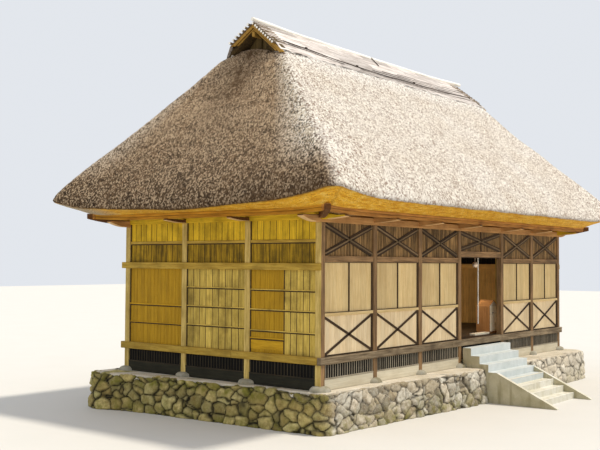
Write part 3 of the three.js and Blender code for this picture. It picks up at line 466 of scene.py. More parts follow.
def upper_flight():
    made = bmesh.new()
    steps = treads(UPPER_START, UPPER_FIRST, UPPER_GOING, UPPER_TOP, UPPER_RISE)
    seat = [(STAIR_NOTCH, 0), (STAIR_NOTCH, BED_TOP)]
    cast(made, [(UPPER_START, BED_TOP)] + steps + seat, STAIR_LEFT, STAIR_RIGHT, 0.006)
    left_faces_painted_shade(made)
    return piece(made, "upper_flight", [new_cement, painted_shade_cement], ["upper_steps"])


def lower_flight():
    made = bmesh.new()
    steps = treads(LOWER_FOOT, LOWER_FOOT + LOWER_GOING, LOWER_GOING, 4 * LOWER_RISE, LOWER_RISE)
    cast(made, [(LOWER_FOOT, 0)] + steps, STAIR_LEFT + CHEEK, STAIR_RIGHT - CHEEK, 0.008)
    for i in range(4):
        y, z = -HALF_Y - LOWER_FOOT - (i + 1) * LOWER_GOING, (4 - i) * LOWER_RISE
        centre = Matrix.Translation(((STAIR_LEFT + STAIR_RIGHT) / 2, y + 0.018, z + 0.0005))
        size = Matrix.Diagonal((STAIR_RIGHT - STAIR_LEFT - 0.226, 0.040, 0.012, 1))
        nosing = bmesh.ops.create_cube(made, size=1, matrix=centre @ size)["verts"]
        for face in {f for v in nosing for f in v.link_faces}:
            face.material_index = 1
    for face in made.faces:
        if face.material_index == 0 and face.calc_center_median().z > 3.04 * LOWER_RISE:
            face.material_index = 2
    return piece(made, "lower_flight", [old_cement, white_edge, new_cement], ["lower_steps"])


def cheeks():
    made = bmesh.new()
    outline = [(LOWER_FOOT, 0), (LOWER_FOOT, CHEEK_TOP), (CHEEK_END, CHEEK_TOE), (CHEEK_END, 0)]
    for x0 in (STAIR_LEFT, STAIR_RIGHT - CHEEK):
        cast(made, outline, x0, x0 + CHEEK, 0.007)
    left_faces_painted_shade(made)
    stands_for = ["left_stair_cheek", "right_stair_cheek"]
    return piece(made, "stair_cheeks", [old_cement, painted_shade_cement], stands_for)


upper_flight()
lower_flight()
cheeks()


# Frame: conifer posts 140 mm square on the foot-stones, three bays deep and six along, left bare and now
# weathered grey-brown in front and ochre at the sides.
HALF_POST, POST_FOOT = 0.07, STONE_TOP - 0.005
FLOOR_TOP, POST_TOP, ARM_BOTTOM = 1.43, 4.03, 4.085
TIE_BOTTOM, TIE_TOP, TIE_IN, TIE_HALF = 3.90, 4.02, 0.044, 0.02
TURNS = {"front": (0, HALF_Y), "right": (90, HALF_X), "rear": (180, HALF_Y), "left": (-90, HALF_X)}
GRAIN = {"X": (0, 1, 2), "Y": (1, 2, 0), "Z": (2, 0, 1)}
chance = random.Random(23)


def timber_finish(name, pale, dark, stain, patchy=0.5, streaky=0.8, roughness=0.82):
    """Bare wood: rings and fibres along the grain, stained in patches, each timber in its own tint."""
    wood = Finish(name, roughness)
    grain = wood.marked("grain", "Vector")
    rings = wood.mottle(wood.stretched(grain, (1.6, 26, 26)), 1, 5, 0.65)
    fibres = wood.mottle(wood.stretched(grain, (5, 150, 150)), 1, 3, 0.6)
    body = wood.over(shade(*pale), dark, rings, 0.36, 0.66, streaky)
    body = wood.over(body, [c * 0.6 for c in dark], fibres, 0.5, 0.75, 0.45 * streaky)
    body = wood.over(body, stain, wood.mottle(wood.place(), 1.9, 5, 0.62), 0.46, 0.72, patchy)
    own = wood.curve(wood.marked("tint"), 0.0, 1.0, 0.72, 1.18)
    wood.colour(wood.node("HueSaturation", Color=body, Value=own).outputs["Color"])
    wood.relief(wood.plus(wood.times(rings, 0.6), fibres), 0.003, 0.8)
    return wood


front_timber = timber_finish("front_timber", (170, 134, 92), (104, 80, 54), (84, 66, 46), 0.6, 1.0)
side_post_timber = timber_finish("side_post_timber", (212, 186, 112), (166, 138, 68), (124, 104, 50), 0.5,
                                 1.0)
side_timber = timber_finish("side_timber", (194, 162, 70), (152, 120, 40), (116, 94, 36), 0.6, 1.0)


def carcass():
    made = bmesh.new()
    made.verts.layers.float_vector.new("grain")
    made.verts.layers.float.new("tint")
    return made


def wood_marks(made):
    return made.verts.layers.float_vector["grain"], made.verts.layers.float["tint"]


def any_shift():
    return Vector([chance.uniform(-50, 50) for _ in range(3)])


def timber(made, low, high, along="X", edge=0.004, tint=None, turn=None, finish=0):
    """A squared timber between two corners with its arrises eased, turned about its middle if need be. Each
    carries its own grain, along its length, and its own shade."""
    grain, shade_of = wood_marks(made)
    low, high = Vector(low), Vector(high)
    size = high - low
    cube = bmesh.ops.create_cube(made, size=1, matrix=Matrix.Diagonal((*size, 1)))["verts"]
    verts = soften(made, list({e for v in cube for e in v.link_edges}), min(edge, min(size) / 3))
    shift = any_shift()
    own = chance.random() if tint is None else tint
    for vert in verts:
        vert[grain] = Vector([vert.co[k] for k in GRAIN[along]]) + shift
        vert[shade_of] = own
    for face in {f for v in verts for f in v.link_faces}:
        face.material_index = finish
    place = Matrix.Translation((low + high) / 2)
    bmesh.ops.transform(made, verts=verts, matrix=place @ turn if turn else place)
    return verts


def on_side(made, side):
    """A wall drawn as a run along X, outside at -Y, moves to its side of the hall."""
    degrees, out = TURNS[side]
    place = Matrix.Rotation(math.radians(degrees), 4, "Z") @ Matrix.Translation((0, -out, 0))
    bmesh.ops.transform(made, verts=made.verts[:], matrix=place)
    return made


def bays(places):
    """The clear runs between neighbouring posts."""
    return [(a + HALF_POST, b - HALF_POST) for a, b in zip(places, places[1:])]


def post(made, x, y, top, tints, finish):
    low, high = (x - HALF_POST, y - HALF_POST, POST_FOOT), (x + HALF_POST, y + HALF_POST, top)
    timber(made, low, high, "Z", 0.009, chance.uniform(*tints), finish=finish)


def posts():
    """Finishes: 0 front, 1 sides and rear; the ties between the post heads are thin."""
    made = carcass()
    for x in posts_x:
        for y in (-HALF_Y, HALF_Y):
            post(made, x, y, POST_TOP, (0.25, 0.8), 0 if y < 0 else 1)
    for x in (-HALF_X, HALF_X):
        for y in posts_y[1:-1]:
            post(made, x, y, ARM_BOTTOM, (0.55, 0.95), 1)
    front_ties = ((posts_x[0], posts_x[3]), (posts_x[4], posts_x[6]))
    for y, ties in ((-HALF_Y + TIE_IN, front_ties), (HALF_Y - TIE_IN, ((-HALF_X, HALF_X),))):
        for x0, x1 in ties:
            timber(made, (x0, y - TIE_HALF, TIE_BOTTOM), (x1, y + TIE_HALF, TIE_TOP), "X", finish=1)
    for x in (-HALF_X + TIE_IN, HALF_X - TIE_IN):
        timber(made, (x - TIE_HALF, posts_y[1], TIE_BOTTOM), (x + TIE_HALF, posts_y[2], TIE_TOP), "Y",
               finish=1)
    for face in made.faces:
        if abs(face.calc_center_median().x) > HALF_X + 0.05 and abs(face.normal.x) > 0.7:
            face.material_index = 1
    stands_for = ["front_left_posts", "front_right_posts", "rear_posts", "left_side_posts",
                  "right_side_posts"]
    return piece(made, "posts", [front_timber, side_post_timber], stands_for)


posts()


# Underfloor skirts: a floor beam clasps the posts from outside; upright slats and a base board close the
# space under it between the foot-stones, with a dark board behind them as painted shade for the underfloor.
BEAM_BOTTOM, BEAM_OUT, BEAM_JOINT = 1.28, 0.10, 0.002
SLAT_PITCH, SLAT_HALF, SLAT_FOOT, SLAT_HEAD = 0.08, 0.0095, 0.99, BEAM_BOTTOM + 0.01
BASE_BOTTOM, BASE_TOP, BASE_CAP, SHADE_SHEET_FOOT = 0.785, 1.0, 1.022, 0.95
# The slats and base boards of the side and rear skirts are painted dark as shade.
under_slats_painted_shade = timber_finish("underfloor_timber_painted_shade", (66, 58, 42), (34, 29, 19), (24, 21, 13), 0.5)
under_base_painted_shade = timber_finish("underfloor_base_boards_painted_shade", (46, 44, 30), (26, 25, 17), (18, 17, 11), 0.5)
slat_timber = timber_finish("front_slat_timber", (166, 156, 136), (122, 112, 94), (94, 84, 68), 0.4)
beam_timber = timber_finish("front_beam_timber", (154, 136, 108), (88, 72, 52), (72, 58, 42), 0.7, 1.0)
painted_shade_board = timber_finish("shaded_boards", (14, 11, 8), (9, 7, 5), (7, 6, 4), 0.3)
pale_timber = timber_finish("new_pale_timber", (206, 198, 176), (184, 172, 146), (160, 146, 116), 0.3, 0.6)


def skirt(side, places, start, end, finishes, base, beam=0, painted_shade_sheet=2, open_bay=None):
    """Finish 1 is the slats'; base, beam and the dark board of painted shade have theirs by number."""
    made = carcass()
    joints = [start, places[len(places) // 2] - 0.4, end]
    for a, b in zip(joints, joints[1:]):
        b -= BEAM_JOINT
        tint = chance.uniform(0.4, 0.7)
        timber(made, (a, -BEAM_OUT, BEAM_BOTTOM), (b, 0.0, FLOOR_TOP), "X", 0.008, tint, finish=beam)
        if side == "front":
            timber(made, (a, -0.104, FLOOR_TOP - 0.030), (b, -0.09, FLOOR_TOP - 0.002), "X", 0.004, 0.9,
                   finish=beam)
    for i, (x0, x1) in enumerate(bays(places)):
        count = 0 if i == open_bay else round((x1 - x0) / SLAT_PITCH)
        for k in range(count):
            x = x0 + (k + 0.5) * (x1 - x0) / count
            timber(made, (x - SLAT_HALF, -0.064, SLAT_FOOT), (x + SLAT_HALF, -0.052, SLAT_HEAD), "Z", 0.003,
                   finish=1)
        timber(made, (x0, -0.040, SHADE_SHEET_FOOT), (x1, -0.030, SLAT_HEAD), "X", 0.002, 0.5, finish=painted_shade_sheet)
        if count:
            tint = chance.uniform(0.5, 0.9)
            timber(made, (x0, -0.064, BASE_BOTTOM), (x1, -0.038, BASE_TOP), "X", 0.004, tint, finish=base)
            tint = chance.uniform(0.4, 0.7)
            timber(made, (x0, -0.072, BASE_TOP), (x1, -0.036, BASE_CAP), "X", 0.004, tint, finish=1)
    piece(on_side(made, side), side + "_skirt", finishes, [side + "_underfloor_skirt"])


rear_places = [-x for x in reversed(posts_x)]
front_skirt_finishes = [front_timber, slat_timber, pale_timber, painted_shade_board, beam_timber]
skirt_finishes = [side_timber, under_slats_painted_shade, painted_shade_board, under_base_painted_shade]
skirt("front", posts_x, -HALF_X - 0.10, HALF_X + 0.17, front_skirt_finishes, 2, 4, 3, 3)
skirt("rear", rear_places, -HALF_X, HALF_X, skirt_finishes, 3)
skirt("left", posts_y, -HALF_Y - 0.17, HALF_Y, skirt_finishes, 3)
skirt("right", posts_y, -HALF_Y, HALF_Y + 0.17, skirt_finishes, 3)


# Floor: bare dark boards 200 mm wide, laid along the hall with one joint in each row. Joists lie under
# them.
BOARD_ROWS, JOISTS, JOIST_HALF = 27, 7, 0.045
BOARD_UNDER, JOIST_UNDER = 1.39, 1.30
floor_wood = timber_finish("floor_timber", (84, 66, 46), (54, 42, 28), (40, 31, 22), 0.5, roughness=0.6)


def floor_boards():
    made = carcass()
    wide = 2 * HALF_Y / BOARD_ROWS
    for i in range(BOARD_ROWS):
        y = -HALF_Y + i * wide
        ends = [-HALF_X + 0.075, chance.uniform(-2.5, 2.5), HALF_X - 0.075]
        for a, b in zip(ends, ends[1:]):
            timber(made, (a + 0.001, y + 0.0015, BOARD_UNDER), (b - 0.001, y + wide - 0.0015, FLOOR_TOP), "X",
                   0.002)
    for i in range(JOISTS):
        y = -HALF_Y + (i + 0.5) * 2 * HALF_Y / JOISTS
        timber(made, (-HALF_X, y - JOIST_HALF, JOIST_UNDER), (HALF_X, y + JOIST_HALF, BOARD_UNDER), "X")
    return piece(made, "floor_boards_laid", [floor_wood], ["hall_floor"])


floor_boards()


# Front walls: in each bay a cross-braced panel below the waist rail, two board shutters with a stile
# between them, and over the lintel a darker cross-braced transom.
WAIST, WAIST_TOP, LINTEL, LINTEL_TOP = 2.21, 2.27, 3.25, 3.38
BOARD_FACE, BOARD_BACK, STRIP_BACK = -0.030, -0.004, -0.028
RAIL_BACK = 0.02
cream_board = timber_finish("front_boards_bare", (230, 204, 150), (206, 174, 114), (188, 154, 104), 0.35, 0.8)
# Dark strips: dark parts such as stiles and lower braces, and painted shadow lines beside and under parts.
dark_strip_and_painted_shadow = timber_finish("dark_strips_and_painted_shadow_lines", (78, 58, 38), (46, 34, 22), (36, 28, 18), 0.3)
transom_board = timber_finish("transom_boards_bare", (172, 136, 86), (70, 50, 26), (44, 32, 20), 0.6, 1.0)
panel_board = timber_finish("lower_panel_boards", (238, 216, 176), (214, 186, 140), (190, 160, 118), 0.4, 0.8)
transom_brace = timber_finish("transom_braces_bare", (134, 112, 82), (100, 82, 58), (74, 60, 44), 0.4)
front_finishes = [front_timber, cream_board, dark_strip_and_painted_shadow, transom_board, transom_brace, panel_board]


def boards(made, x0, x1, z0, z1, wide, finish, tints, gap=0.0016):
    """Upright boards side by side, each a little more or less proud."""
    count = max(1, round((x1 - x0) / wide))
    pitch = (x1 - x0) / count
    for k in range(count):
        a, b = x0 + k * pitch + gap, x0 + (k + 1) * pitch - gap
        face = BOARD_FACE + chance.uniform(0, 0.003)
        timber(made, (a, face, z0), (b, BOARD_BACK, z1), "Z", 0.0025, chance.uniform(*tints), finish=finish)


def brace(made, x0, x1, z0, z1, wide, front, back, way, finish):
    """One diagonal from corner to corner of a bay, kept inside it."""
    rise, run = z1 - z0 - wide * 0.8, x1 - x0 - wide * 0.8
    middle = Vector(((x0 + x1) / 2, (front + back) / 2, (z0 + z1) / 2))
    half = Vector((math.hypot(rise, run) / 2, (back - front) / 2, wide / 2))
    turn = Matrix.Rotation(way * math.atan2(rise, run), 4, "Y")
    timber(made, middle - half, middle + half, "X", 0.003, None, turn, finish)


def transom_diagonal(made, x0, x1, bottom, way):
    """A broad dark diagonal with a narrow paler one on it; the dark showing at its edges is painted shadow.
    """
    brace(made, x0, x1, bottom, POST_TOP, 0.108, -0.044, STRIP_BACK, way, 2)
    brace(made, x0, x1, bottom + 0.03, POST_TOP - 0.03, 0.030, -0.056, -0.040, way, 4)


def front_wall(places, name, node):
    """Finishes: 0 rails, 1 cream boards, 2 dark strips, 3 transom boards and 4 braces, 5 panel boards."""
    made = carcass()
    for x0, x1 in bays(places):
        middle = (x0 + x1) / 2
        boards(made, x0, x1, FLOOR_TOP, WAIST, 0.19, 5, (0.6, 1.0))
        for a, b in ((x0, middle), (middle, x1)):
            whole = chance.uniform(0.45, 0.8)
            boards(made, a, b, WAIST_TOP, LINTEL, 0.20, 1, (whole - 0.18, whole + 0.18), 0.001)
        boards(made, x0, x1, LINTEL_TOP, POST_TOP, 0.10, 3, (-0.3, 1.1), 0.004)
        timber(made, (middle - 0.018, -0.046, WAIST_TOP), (middle + 0.018, STRIP_BACK, LINTEL), "Z", 0.003,
               finish=2)
        # Dark strips at both ends of each bay, beside the posts, are painted shadow in the gap there.
        for x, half in ((x0 + 0.010, 0.010), (x1 - 0.022, 0.022)):
            for z0, z1 in ((WAIST_TOP, LINTEL), (FLOOR_TOP + 0.03, WAIST)):
                timber(made, (x - half, -0.050, z0), (x + half, -0.026, z1), "Z", 0.003, finish=2)
        for way in (-1, 1):
            brace(made, x0, x1, FLOOR_TOP + 0.01, WAIST, 0.050, -0.046, STRIP_BACK, way, 2)
            transom_diagonal(made, x0, x1, LINTEL_TOP, way)
        timber(made, (x0, -0.036, FLOOR_TOP), (x1, -0.026, FLOOR_TOP + 0.03), "X", 0.003, 0.2, finish=2)
    for x0, x1 in bays(places):
        tint = chance.uniform(0.5, 0.8)
        timber(made, (x0, -0.062, WAIST), (x1, RAIL_BACK, WAIST_TOP), "X", 0.006, tint, finish=1)
        timber(made, (x0, -0.058, WAIST_TOP), (x1, -0.03, WAIST_TOP + 0.012), "X", 0.003, 0.3, finish=2)
        timber(made, (x0, -0.060, LINTEL), (x1, RAIL_BACK, LINTEL_TOP), "X", 0.007, chance.uniform(0.3, 0.6))
        tint = chance.uniform(0.8, 1.0)
        timber(made, (x0, -0.066, LINTEL + 0.088), (x1, -0.055, LINTEL_TOP - 0.002), "X", 0.003, tint)
        # A dark line under the lintel: painted shadow.
        timber(made, (x0, -0.064, LINTEL), (x1, -0.055, LINTEL + 0.012), "X", 0.003, 0.1, finish=2)
    piece(on_side(made, "front"), name, front_finishes, [node])


front_wall(posts_x[:4], "front_left_boards", "front_left_wall")
front_wall(posts_x[4:], "front_right_boards", "front_right_wall")


# Door head: the doorway's lintel stands higher than its neighbours, with its own transom over it and a
# cleat behind it for the bell.
DOOR_HEAD, DOOR_HEAD_TOP = 3.385, 3.545
BELL_X, ROPE_X, BELL_Y = 1.060, 1.217, -HALF_Y + 0.20
CLEAT_BOTTOM, CLEAT_TOP, CLEAT_END = 3.43, 3.50, 0.235


def door_head():
    made = carcass()
    x0, x1 = STAIR_LEFT, STAIR_RIGHT
    middle = (x0 + x1) / 2
    boards(made, x0, x1, DOOR_HEAD_TOP, POST_TOP, 0.10, 3, (-0.3, 1.1), 0.004)
    for way in (-1, 1):
        transom_diagonal(made, x0, x1, DOOR_HEAD_TOP, way)
    timber(made, (middle - 0.022, -0.048, DOOR_HEAD_TOP), (middle + 0.022, STRIP_BACK, POST_TOP), "Z", 0.003,
           0.4, finish=2)
    timber(made, (x0, -0.060, DOOR_HEAD), (x1, RAIL_BACK, DOOR_HEAD_TOP), "X", 0.008, 0.85)
    # A dark line under the door head: painted shadow.
    timber(made, (x0, -0.064, DOOR_HEAD), (x1, -0.052, DOOR_HEAD + 0.018), "X", 0.003, 0.2, finish=2)
    timber(made, (BELL_X - 0.06, 0.015, CLEAT_BOTTOM), (ROPE_X + 0.04, CLEAT_END, CLEAT_TOP), "Y", 0.006, 0.3)
    return piece(on_side(made, "front"), "door_head_framed", front_finishes, ["door_head"])


door_head()


# Side and rear walls: upright boards between the posts, a rail that clasps the posts from outside above
# head height, thin battens, and a narrower rail between the upper boards. Some boards on the left are new.
RAIL, RAIL_TOP, UPPER_RAIL, UPPER_RAIL_TOP = 3.095, 3.235, 3.64, 3.70
PATCH_END = HALF_Y - 0.864
ochre_board = timber_finish("side_boards_weathered", (218, 188, 92), (154, 126, 48), (108, 88, 34), 0.8, 0.75)
new_board = timber_finish("side_boards_new", (190, 148, 30), (160, 120, 16), (140, 106, 22), 0.4, 0.8)
upper_board = timber_finish("upper_boards", (236, 196, 48), (188, 150, 24), (144, 116, 20), 0.8, 0.8)
damp_board = timber_finish("damp_upper_boards", (190, 152, 34), (90, 70, 10), (72, 58, 12), 0.9, 1.0)
inner_board = timber_finish("boards_seen_from_inside", (240, 192, 112), (196, 148, 84), (150, 112, 62), 0.5)
side_finishes = [side_timber, ochre_board, new_board, upper_board, damp_board, dark_strip_and_painted_shadow, inner_board,
                 painted_shade_board]


def batten(made, x0, x1, z, high=0.020, finish=1):
    timber(made, (x0, -0.046, z), (x1, STRIP_BACK, z + high), "X", 0.003, 0.9, finish=finish)
    # The dark strip under the batten is its painted shadow.
    timber(made, (x0, -0.040, z - 0.024), (x1, STRIP_BACK, z), "X", 0.002, 0.2, finish=5)


def board_joints(made, x0, x1, z0, z1, wide, half=0.006):
    """Shrunk joints between boards, as narrow dark lines."""
    count = max(1, round((x1 - x0) / wide))
    for k in range(1, count):
        x = x0 + (x1 - x0) * k / count
        timber(made, (x - half, -0.0325, z0), (x + half, -0.026, z1), "Z", 0.001, 0.25, finish=5)


def weathered_bay(made, x0, x1):
    boards(made, x0, x1, FLOOR_TOP, RAIL, 0.187, 1, (0.25, 0.95), 0.003)
    board_joints(made, x0, x1, FLOOR_TOP, RAIL, 0.187)
    for z in (2.70, 2.30, 1.90):
        batten(made, x0, x1, z)


def new_bay(made, x0, x1):
    boards(made, x0, x1, FLOOR_TOP, RAIL, 0.11, 2, (0.34, 0.66), 0.002)
    batten(made, x0, x1, 2.283, 0.036, 2)
    batten(made, x0, x1, 1.884, 0.016, 2)


def patched_bay(made, x0, x1):
    """New boards towards the rear, weathered ones towards the corner post, as on the left side."""
    boards(made, x0, PATCH_END, FLOOR_TOP, RAIL, 0.12, 2, (0.34, 0.66), 0.002)
    boards(made, PATCH_END, x1, FLOOR_TOP, RAIL, 0.16, 1, (0.25, 0.9), 0.003)
    board_joints(made, PATCH_END, x1, FLOOR_TOP, RAIL, 0.16)
    timber(made, (PATCH_END - 0.012, -0.036, FLOOR_TOP), (PATCH_END + 0.012, STRIP_BACK, RAIL), "Z", 0.002,
           0.2, finish=5)
    for z in (2.690, 2.289, 1.868):
        batten(made, x0, x1, z)
    batten(made, x0, PATCH_END, 1.708, 0.028, 2)
    timber(made, (x0, -0.036, 1.50), (PATCH_END - 0.02, STRIP_BACK, 1.68), "X", 0.003, 1.0, finish=2)


def board_wall(side, places, kinds, start, end, top):
    """Finishes: 0 rails, 1 weathered, 2 new, 3 upper, 4 damp boards, 5 dark lines, 6 and 7 inner faces."""
    made = carcass()
    for (x0, x1), kind in zip(bays(places), kinds):
        kind(made, x0, x1)
        upper = ((RAIL_TOP, UPPER_RAIL, 4, (0.3, 0.8)), (UPPER_RAIL_TOP, top, 3, (0.35, 0.9)))
        for z0, z1, finish, tints in upper:
            boards(made, x0, x1, z0, z1, 0.17, finish, tints, 0.002)
        for z0, z1, _, _ in upper:
            board_joints(made, x0, x1, z0, z1, 0.17, 0.004)
        timber(made, (x0, -0.046, UPPER_RAIL), (x1, BOARD_BACK, UPPER_RAIL_TOP), "X", 0.005, 0.8)
        # The dark strip under the upper rail is its painted shadow.
        timber(made, (x0, -0.040, UPPER_RAIL - 0.022), (x1, -0.030, UPPER_RAIL), "X", 0.002, 0.2, finish=5)
        # A dark strip at the start of each bay, beside the post, is painted shadow.
        for z0, z1 in ((FLOOR_TOP, RAIL), (RAIL_TOP, UPPER_RAIL), (UPPER_RAIL_TOP, top)):
            timber(made, (x0, -0.044, z0), (x0 + 0.022, STRIP_BACK, z1), "Z", 0.002, 0.3, finish=5)
    timber(made, (start, -0.10, RAIL), (end, -0.02, RAIL_TOP), "X", 0.008, 0.7)
    # Faces turned into the room take their own colours: below the side rail a warmer copy of the boards,
    # partly painted light of the room, and above it painted shade.
    made.normal_update()
    for face in made.faces:
        if face.normal.y > 0.7:
            face.material_index = 6 if face.calc_center_median().z < RAIL_TOP else 7
    piece(on_side(made, side), side + "_wall_boards", side_finishes, [side + "_wall"])


left_places = [-y for y in reversed(posts_y)]
board_wall("left", left_places, (new_bay, weathered_bay, patched_bay), -HALF_Y - 0.17, HALF_Y + HALF_POST,
           ARM_BOTTOM)
board_wall("right", posts_y, (weathered_bay,) * 3, -HALF_Y - HALF_POST, HALF_Y + 0.17, ARM_BOTTOM)
board_wall("rear", rear_places, (weathered_bay,) * 6, -HALF_X, HALF_X, POST_TOP)


# Plates, cross beams and their boat-shaped arms: squared conifer with the arrises eased. The arms' sides are
# painted dark as shade under the eave, and their curved undersides painted pale as light thrown up from
# below.
BEAM_EASE = 0.008
plate_timber = timber_finish("plate_timber", (206, 156, 96), (160, 112, 62), (120, 82, 44), 0.5)
arm_sides_painted_shade = timber_finish("arm_sides_painted_shade", (112, 74, 38), (74, 46, 24), (58, 36, 20), 0.4)
arm_undersides_painted_light = timber_finish("arm_undersides_painted_light", (232, 196, 140), (198, 156, 102), (170, 126, 80), 0.4)


def eased(node, along, finish):
    """A beam as the frame has it, with its arrises taken off."""
    made = bmesh.new()
    made.from_mesh(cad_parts[node].data)
    bmesh.ops.remove_doubles(made, verts=made.verts[:], dist=0.0002)
    bmesh.ops.dissolve_limit(made, angle_limit=math.radians(1), verts=made.verts[:], edges=made.edges[:])
    sharp = math.radians(30)
    soften(made, [e for e in made.edges if len(e.link_faces) == 2 and e.calc_face_angle() > sharp], BEAM_EASE)
    grain = made.verts.layers.float_vector.new("grain")
    shade_of = made.verts.layers.float.new("tint")
    own = chance.uniform(0.4, 0.8)
    shift = any_shift()
    for vert in made.verts:
        vert[grain] = Vector([vert.co[k] for k in GRAIN[along]]) + shift
        vert[shade_of] = own
    # Beyond the walls, undersides are painted pale as light from below and the other faces dark as shade.
    for face in made.faces:
        middle = face.calc_center_median()
        if max(abs(middle.x) - HALF_X, abs(middle.y) - HALF_Y) > 0.10:
            face.material_index = 2 if face.normal.z < -0.3 else 1
    return piece(made, node + "_eased", [finish, arm_sides_painted_shade, arm_undersides_painted_light], [node])


for node in ("front_wall_plate", "rear_wall_plate"):
    eased(node, "X", plate_timber)
for node in ("left_wall_plate", "right_wall_plate"):
    eased(node, "Y", upper_board)
for i in range(1, 6):
    eased("cross_beam_%d" % i, "Y", plate_timber)


# Eave purlins: two boards on edge, one over the other, on the tips of the arms. Arms on the diagonals carry
# them at the corners; their square ends show.
EAVE_BOTTOM = 4.28
PURLIN_OUT, PURLIN_IN, PURLIN_SEAM = 0.62, 0.50, 4.226
CORNER_REACH, CORNER_ROOT, CORNER_BEND, CORNER_RISE, ARM_HALF = 0.690, 0.112, 0.26, 0.080, 0.055
BEND_LONG, BEND_RISE = 1.3, 0.05
purlin_timber = timber_finish("purlin_timber", (200, 144, 70), (142, 92, 40), (108, 70, 32), 0.4, 1.0)
side_purlin_timber = timber_finish("side_purlin_timber", (206, 150, 44), (160, 110, 26), (116, 78, 22), 0.4,
                                   1.0)


def corner_arm(made, sign):
    """A boat-shaped arm from the corner post's axis outwards: level underneath, then rising to its tip."""
    root, long, straight = (d * math.sqrt(2) for d in
                            (CORNER_ROOT, CORNER_REACH - CORNER_ROOT, CORNER_BEND - CORNER_ROOT))
    side = [(0, ARM_BOTTOM), (straight, ARM_BOTTOM)]
    side += [(straight + (long - straight) * k / 6, ARM_BOTTOM + CORNER_RISE * (k / 6) ** 1.5)
             for k in range(1, 7)]
    side += [(long, EAVE_BOTTOM - 0.002), (0, EAVE_BOTTOM - 0.002)]
    verts = [made.verts.new((root + out, -ARM_HALF, z)) for out, z in side]
    mine = set(verts + drawn_out(made, verts, (0, 2 * ARM_HALF, 0)))
    soften(made, [e for e in made.edges if e.verts[0] in mine and e.calc_face_angle(0) > 0.5], 0.006)
    arm = [v for v in made.verts if -0.06 < v.co.y < 0.06 and v.co.x < 1.1 and v.co.z > 4.0]
    grain, shade_of = wood_marks(made)
    for vert in arm:
        vert[grain], vert[shade_of] = vert.co.copy(), 0.8
    turn = Matrix.Rotation(math.radians(-90 + 45 * sign), 4, "Z")
    bmesh.ops.transform(made, verts=arm, matrix=Matrix.Translation((sign * HALF_X, 0, 0)) @ turn)
    # Undersides painted pale as light from below, the other faces dark as shade.
    made.normal_update()
    for face in {f for v in arm for f in v.link_faces}:
        face.material_index = 2 if face.normal.z < -0.3 else 1


def purlins(side, half_run, corners):
    made = carcass()
    if corners:
        for sign in (-1, 1):
            corner_arm(made, sign)
    timber(made, (-half_run, -PURLIN_OUT + 0.010, 4.160), (half_run, -PURLIN_IN, PURLIN_SEAM - 0.004), "X",
           0.006, 0.45)
    timber(made, (-half_run, -PURLIN_OUT, PURLIN_SEAM), (half_run, -PURLIN_IN, EAVE_BOTTOM - 0.002), "X",
           0.006, 0.75)
    bend = half_run - BEND_LONG
    for k in range(5):
        for x in (-bend - 0.26 * k, bend + 0.26 * k):
            bmesh.ops.bisect_plane(made, geom=made.verts[:] + made.edges[:] + made.faces[:], dist=1e-5,
                                   plane_co=(x, 0, 0), plane_no=(1, 0, 0))
    for vert in made.verts:
        vert.co.z += BEND_RISE * max(0, (abs(vert.co.x) - bend) / BEND_LONG) ** 2
    finishes = [purlin_timber if corners else side_purlin_timber, arm_sides_painted_shade, arm_undersides_painted_light]
    return piece(on_side(made, side), side + "_purlin_boards", finishes,
                 [side + "_eave_purlin"])


for side in ("front", "rear"):
    purlins(side, HALF_X + 0.64, True)
for side in ("left", "right"):
    purlins(side, HALF_Y + 0.50, False)


# Thatch: bundles of straw laid thick from the eave to the ridge and trimmed. The cut face under the lip is
# still golden; the slopes have weathered, pale towards the sun in front and grey-brown on the ends.
SOFFIT_OUT, CUT_OUT, LIP_OUT = 0.44, 0.66, 1.27
CUT_RADIUS, LIP_RADIUS, FOOT_RADIUS = 0.10, 0.22, 0.14
LIP_FRONT, LIP_SIDE, CUT_CORNER = 4.425, 4.298, 4.33
FRONT_RISE, FRONT_REACH, SIDE_RISE, SIDE_FLICK, FLICK_REACH = 0.165, 2.43, 0.170, 0.122, 1.2
GABLE_X, GABLE_HALF, GABLE_FOOT, THATCH_PEAK = 4.70, 0.97, 7.80, 8.57
GABLE_LEAN, RECESS_X = 0.225, 4.26
ATTIC_X, ATTIC_HALF, ATTIC_TOP = 4.24, 0.62, 7.25
THATCH_COLUMNS = 800
INNER_ROWS, SOFFIT_ROWS, CUT_ROWS, SLOPE_ROWS, RECESS_ROWS = 3, 2, 9, 84, 5
COURSE_HIGH = 0.065
CROWN_COLUMNS, CROWN_RINGS, CROWN_INNER, CROWN_INNER_PEAK = 150, (22, 22, 4, 6, 6, 4), 0.68, 8.43
TUFTS = 150

lip_x, lip_y = HALF_X + LIP_OUT, HALF_Y + LIP_OUT
lip_sides = [2 * (lip_x - LIP_RADIUS), math.pi / 2 * LIP_RADIUS, 2 * (lip_y - LIP_RADIUS),
             math.pi / 2 * LIP_RADIUS] * 2
lip_round = sum(lip_sides)
lip_row = INNER_ROWS + SOFFIT_ROWS + CUT_ROWS


def station(share):
    """Where on the eave a share of the way round it lies: which side or corner, and how far along that."""
    distance = share * lip_round
    for index, length in enumerate(lip_sides):
        if distance <= length or index == len(lip_sides) - 1:
            return index, min(distance / length, 1)
        distance -= length


